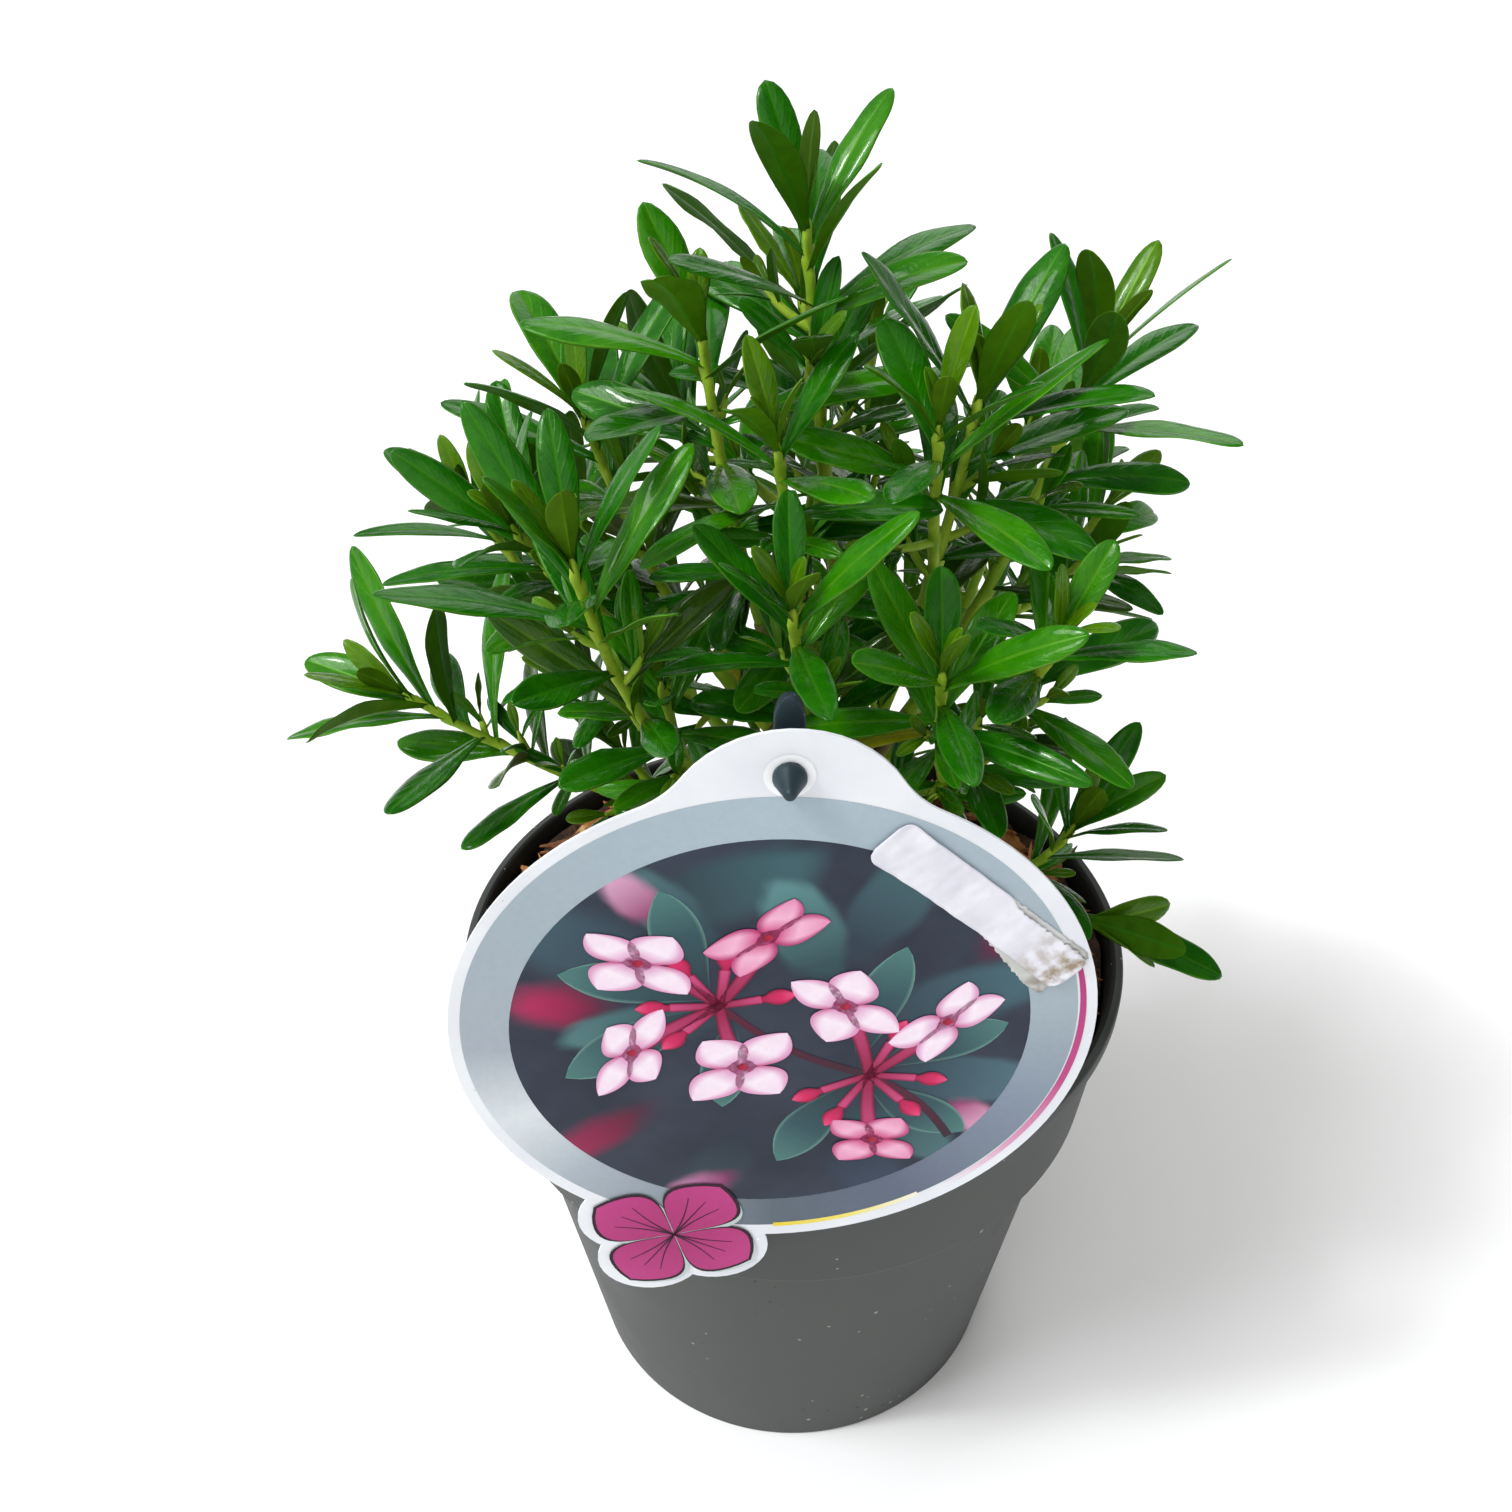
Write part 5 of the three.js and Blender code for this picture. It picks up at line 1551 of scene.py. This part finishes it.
def on_strip(along, across, lift):
    """A point over the label in the strip's own directions, from its middle."""
    u = STRIP_CENTRE[0] + along * math.cos(STRIP_TURN) - across * math.sin(STRIP_TURN)
    v = STRIP_CENTRE[1] + along * math.sin(STRIP_TURN) + across * math.cos(STRIP_TURN)
    return on_label(u, v, lift)


def paper(start, end, lower, upper, lift, wave, thickness, seed):
    """A paper layer between two edges that wander, as a closed sheet with its waves."""
    corners, spots, faces = [], [], []
    for rise in (0, thickness):
        for column in range(STRIP_COLUMNS + 1):
            share = column / STRIP_COLUMNS
            along = start + (end - start) * share
            for row in range(STRIP_ROWS + 1):
                height = row / STRIP_ROWS
                across = lower(along) + (upper(along) - lower(along)) * height
                swell = noise.noise(Vector((along * CREASES[0], across * CREASES[1], seed)))
                fine = Vector((along * FINE_CREASES[0], across * FINE_CREASES[1], seed + 5))
                swell += 0.5 * noise.noise(fine)
                corners.append(on_strip(along, across, lift + wave * swell + rise))
                spots.append((share, height))
    size = (STRIP_COLUMNS + 1) * (STRIP_ROWS + 1)
    step = STRIP_ROWS + 1
    for column in range(STRIP_COLUMNS):
        for a in range(column * step, column * step + STRIP_ROWS):
            b = a + step
            faces.append((a, a + 1, b + 1, b))
            faces.append((size + a, size + b, size + b + 1, size + a + 1))
    for column in range(STRIP_COLUMNS):
        low, high = column * step, column * step + STRIP_ROWS
        faces.append((low, low + step, size + low + step, size + low))
        faces.append((high + step, high, size + high, size + high + step))
    for row in range(STRIP_ROWS):
        near, far = row, row + STRIP_COLUMNS * step
        faces.append((near + 1, near, size + near, size + near + 1))
        faces.append((size + far + 1, size + far, far, far + 1))
    return corners, faces, spots


def corner_cut(along):
    """How far the strip's edge draws in near its two ends, for the rounded corners."""
    near = max(0, abs(along) - (STRIP_LENGTH / 2 - STRIP_CORNER))
    return STRIP_CORNER - math.sqrt(max(0, STRIP_CORNER ** 2 - near ** 2))


def torn(along, seed, size):
    """The wander of a torn paper edge."""
    coarse = noise.noise(Vector((along * 1.3, seed, 0)))
    return size * (coarse + 0.4 * noise.noise(Vector((along * 5, seed, 3))))


def strip_lower(along):
    return -STRIP_WIDTH / 2 + corner_cut(along) + 0.35 * math.cos(along / 8)


def strip_upper(along):
    ripped = held((along - 1) / 3)
    return STRIP_WIDTH / 2 - corner_cut(along) - ripped * (0.9 + torn(along, 2.0, 0.5))


def under_lower(along):
    wider = 2.6 * held((along - 3) / 12)
    return -STRIP_WIDTH / 2 + 0.4 - wider + corner_cut(along) + torn(along, 7.0, 0.3)


def under_upper(along):
    return STRIP_WIDTH / 2 - 0.2 - corner_cut(along) + torn(along, 4.0, 0.35)


def strip_paper(name, first, second, soiled):
    made, tree, shader, clouds = mottled(
        name, (tone(first), tone(second)), 120.0, (0.4, 0.00012), Roughness=0.55,
    )
    end = ease(tree, across_and_along(tree)[0], *SOILED_END)
    spots = carry(tree, grain(tree, own_place(tree), 520.0, Detail=5.0), 0.38, 0.62)
    colour = blend(tree, maths(tree, "MULTIPLY", end, spots), clouds["Color"], tone(soiled))
    tree.links.new(colour, shader.inputs["Base Color"])
    return made


old_corners, old_faces, old_spots = paper(
    -2, STRIP_LENGTH / 2 - 0.6, under_lower, under_upper, lift=0.08, wave=0.03, thickness=0.1, seed=3.0,
)
old_paper = strip_paper("old_paper", "c9cbca", "b9bab6", "8a8478")
piece("strip_remains", old_corners, old_faces, [old_paper], "paper_strip", maps=old_spots)
new_corners, new_faces, new_spots = paper(
    -STRIP_LENGTH / 2, STRIP_LENGTH / 2, strip_lower, strip_upper, lift=0.42, wave=0.26, thickness=0.12,
    seed=9.0,
)
new_paper = strip_paper("new_paper", "e0e0e8", "d5d5df", "93836b")
piece("strip_blank", new_corners, new_faces, [new_paper], "paper_strip", ["label_strip"], maps=new_spots)


# ---- label holder ----
# A dark grey-green moulded stake pushed into the compost behind the rim, with a
# peg that goes through the label's hole and ends in a barbed cone.

STAKE_FRONT = -59.7
STAKE_DEPTH = 2.4
STAKE_HALF_WIDTH = 2.1
STAKE_TOP = 206.0
STAKE_FOOT = 84.0
STAKE_SIDES = 24
STAKE_RINGS = 24
STAKE_SQUARENESS = 0.35
STAKE_DOME = 4  # height of the round top
DOME_SQUARE = 16.2  # a little over its square, so that the top isn't a single point
DOME_STEPS = 8
STAKE_POINT = 14  # height over which the foot is drawn in
PEG_NECK = 1.6
PEG_HEAD = 2.2
PEG_TIP = 0.75
PEG_LENGTH = 4.4
PEG_SIDES = 48
HALO_STEPS = 48
HALO_BREADTH = 1.1


def stake_body():
    """Rounded oblong sections up the stake, drawn in to a blade at its foot and a round top."""
    shoulder = STAKE_TOP - STAKE_DOME
    heights = [STAKE_FOOT + (shoulder - STAKE_FOOT) * k / STAKE_RINGS for k in range(STAKE_RINGS + 1)]
    for k in range(1, DOME_STEPS + 1):
        heights.append(STAKE_TOP - STAKE_DOME * (1 - math.sin(math.pi * k / (2 * DOME_STEPS))))
    corners = []
    for height in heights:
        foot = min(1, 0.2 + (height - STAKE_FOOT) / STAKE_POINT)
        top = math.sqrt(max(0, 1 - max(0, height - STAKE_TOP + STAKE_DOME) ** 2 / DOME_SQUARE))
        for parts in turns(STAKE_SIDES):
            square = [math.copysign(abs(part) ** STAKE_SQUARENESS, part) for part in parts]
            x = LABEL_CENTRE.x + TAB_HOLE[0] + square[0] * STAKE_HALF_WIDTH * foot * top
            y = STAKE_FRONT + STAKE_DEPTH / 2 * (1 + square[1] * (0.4 + 0.6 * top))
            corners.append((x, y, height))
    return corners, rings_to_faces(len(heights), STAKE_SIDES)


def peg_body():
    front = LABEL_CENTRE.y - 0.05
    end = front - PEG_LENGTH
    profile = [
        (PEG_NECK, STAKE_FRONT + 0.6), (PEG_NECK, front), (PEG_HEAD - 0.25, front - 0.02),
        (PEG_HEAD, front - 0.2), (PEG_HEAD, front - 0.65), (PEG_HEAD - 0.15, front - 0.95),
        (PEG_TIP + 0.15, end + 0.7), (PEG_TIP, end + 0.3), (PEG_TIP - 0.25, end + 0.02),
    ]
    corners = []
    for radius, y in profile:
        for side in range(PEG_SIDES):
            turn = 2 * math.pi * side / PEG_SIDES
            seam = 1 + 0.05 * max(0, math.cos(turn - math.pi / 2)) ** 24
            x = LABEL_CENTRE.x + TAB_HOLE[0] - radius * seam * math.cos(turn)
            corners.append((x, y, LABEL_CENTRE.z + TAB_HOLE[1] + radius * seam * math.sin(turn)))
    return corners, rings_to_faces(len(profile), PEG_SIDES)


def halo_shape(across, along):
    """A flat ring, whiter than the plate, printed round the label's hole."""
    return round_spot(TAB_HOLE, TAB_HOLE_RADIUS + 0.1 + HALO_BREADTH * across, 2 * math.pi * along)


holder_specks = {"Light": tone("8a9296"), "Dark": tone("1c2428"), "Scale": 700.0}
holder_plastic = skin(
    "holder_plastic", (tone("2b3c42"), tone("223037")), 160.0, (0.3, 0.0001), holder_specks,
    Roughness=0.42, Specular_IOR_Level=0.22,
)
holder_pile = [], []
gather(holder_pile, *stake_body())
gather(holder_pile, *peg_body())
piece("holder_body", *holder_pile, [holder_plastic], "holder", ["label_holder"])

halo = Print(3)
halo.grid(HALO_STEPS, 3, halo_shape)
halo.made("hole_halo", [(0, "f6f8fa"), (1, "f6f8fa")])


# ---- floor and light ----
# A plain pale floor in a white room: pale walls low all round, a wide bright window
# high on the left with one clear pane, and weaker light from behind and in front.

FLOOR_SIZE = 12.0
FLOOR_GREYS = (0.97, 0.97, 0.97, 1), (0.94, 0.94, 0.945, 1)
WINDOW = Vector((-0.7, -0.25, 1.0)).normalized()
WINDOW_EDGES = (0.35, 0.95)  # cosine of the angle from the window's middle
ROOM_LIGHT = (0.16, 0.75)
WALL_LIGHT = 0.8  # the pale walls low around the floor, which darken as they rise
WALL_RISE = (0.04, 0.45)
# Each sun: where it stands, its strength, how wide it is in degrees, and its colour.
SUNS = {
    "window": (WINDOW, 1.8, 28, (0.98, 0.99, 1.0)),
    "window_pane": (WINDOW, 0.7, 6, (0.98, 0.99, 1.0)),
    "back_window": ((0.1, 0.9, 0.75), 0.7, 40, (1.0, 1.0, 1.0)),
    "front": ((-0.2, -1.0, 0.7), 0.55, 60, (1.0, 0.98, 0.94)),
}

floor_mesh = bpy.data.meshes.new("floor")
half = FLOOR_SIZE / 2
floor_corners = [(-half, -half, 0), (half, -half, 0), (half, half, 0), (-half, half, 0)]
floor_mesh.from_pydata(floor_corners, [], [(0, 1, 2, 3)])
floor_mesh.materials.append(skin("floor_paint", FLOOR_GREYS, 2.0, Roughness=0.9))
floor = bpy.data.objects.new("floor", floor_mesh)
bpy.context.scene.collection.objects.link(floor)
floor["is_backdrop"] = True

world = bpy.data.worlds.new("room")
world.use_nodes = True
room = world.node_tree
outlook = add(room, "TexCoord").outputs["Generated"]
facing = add(room, "VectorMath", {0: outlook, 1: WINDOW}, operation="DOT_PRODUCT").outputs["Value"]
height = add(room, "SeparateXYZ", {0: outlook}).outputs["Z"]
wall = ease(room, height, *WALL_RISE, WALL_LIGHT, 0.0)
bright = maths(room, "MAXIMUM", ease(room, facing, *WINDOW_EDGES, *ROOM_LIGHT), wall)
background = room.nodes["Background"]
background.inputs["Color"].default_value = (1, 1, 1, 1)
room.links.new(bright, background.inputs["Strength"])
bpy.context.scene.world = world

for name, (heading, strength, spread, colour) in SUNS.items():
    sun_data = bpy.data.lights.new(name, "SUN")
    sun_data.energy = strength
    sun_data.angle = math.radians(spread)
    sun_data.color = colour
    sun = bpy.data.objects.new(name, sun_data)
    sun.rotation_euler = Vector(heading).to_track_quat("Z", "Y").to_euler()
    bpy.context.scene.collection.objects.link(sun)

bpy.context.scene.view_settings.view_transform = "Standard"

visual_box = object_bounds()
boxes = {"cad": cad_box, "visual": visual_box}
{name: [list(corner) for corner in box] for name, box in boxes.items()}
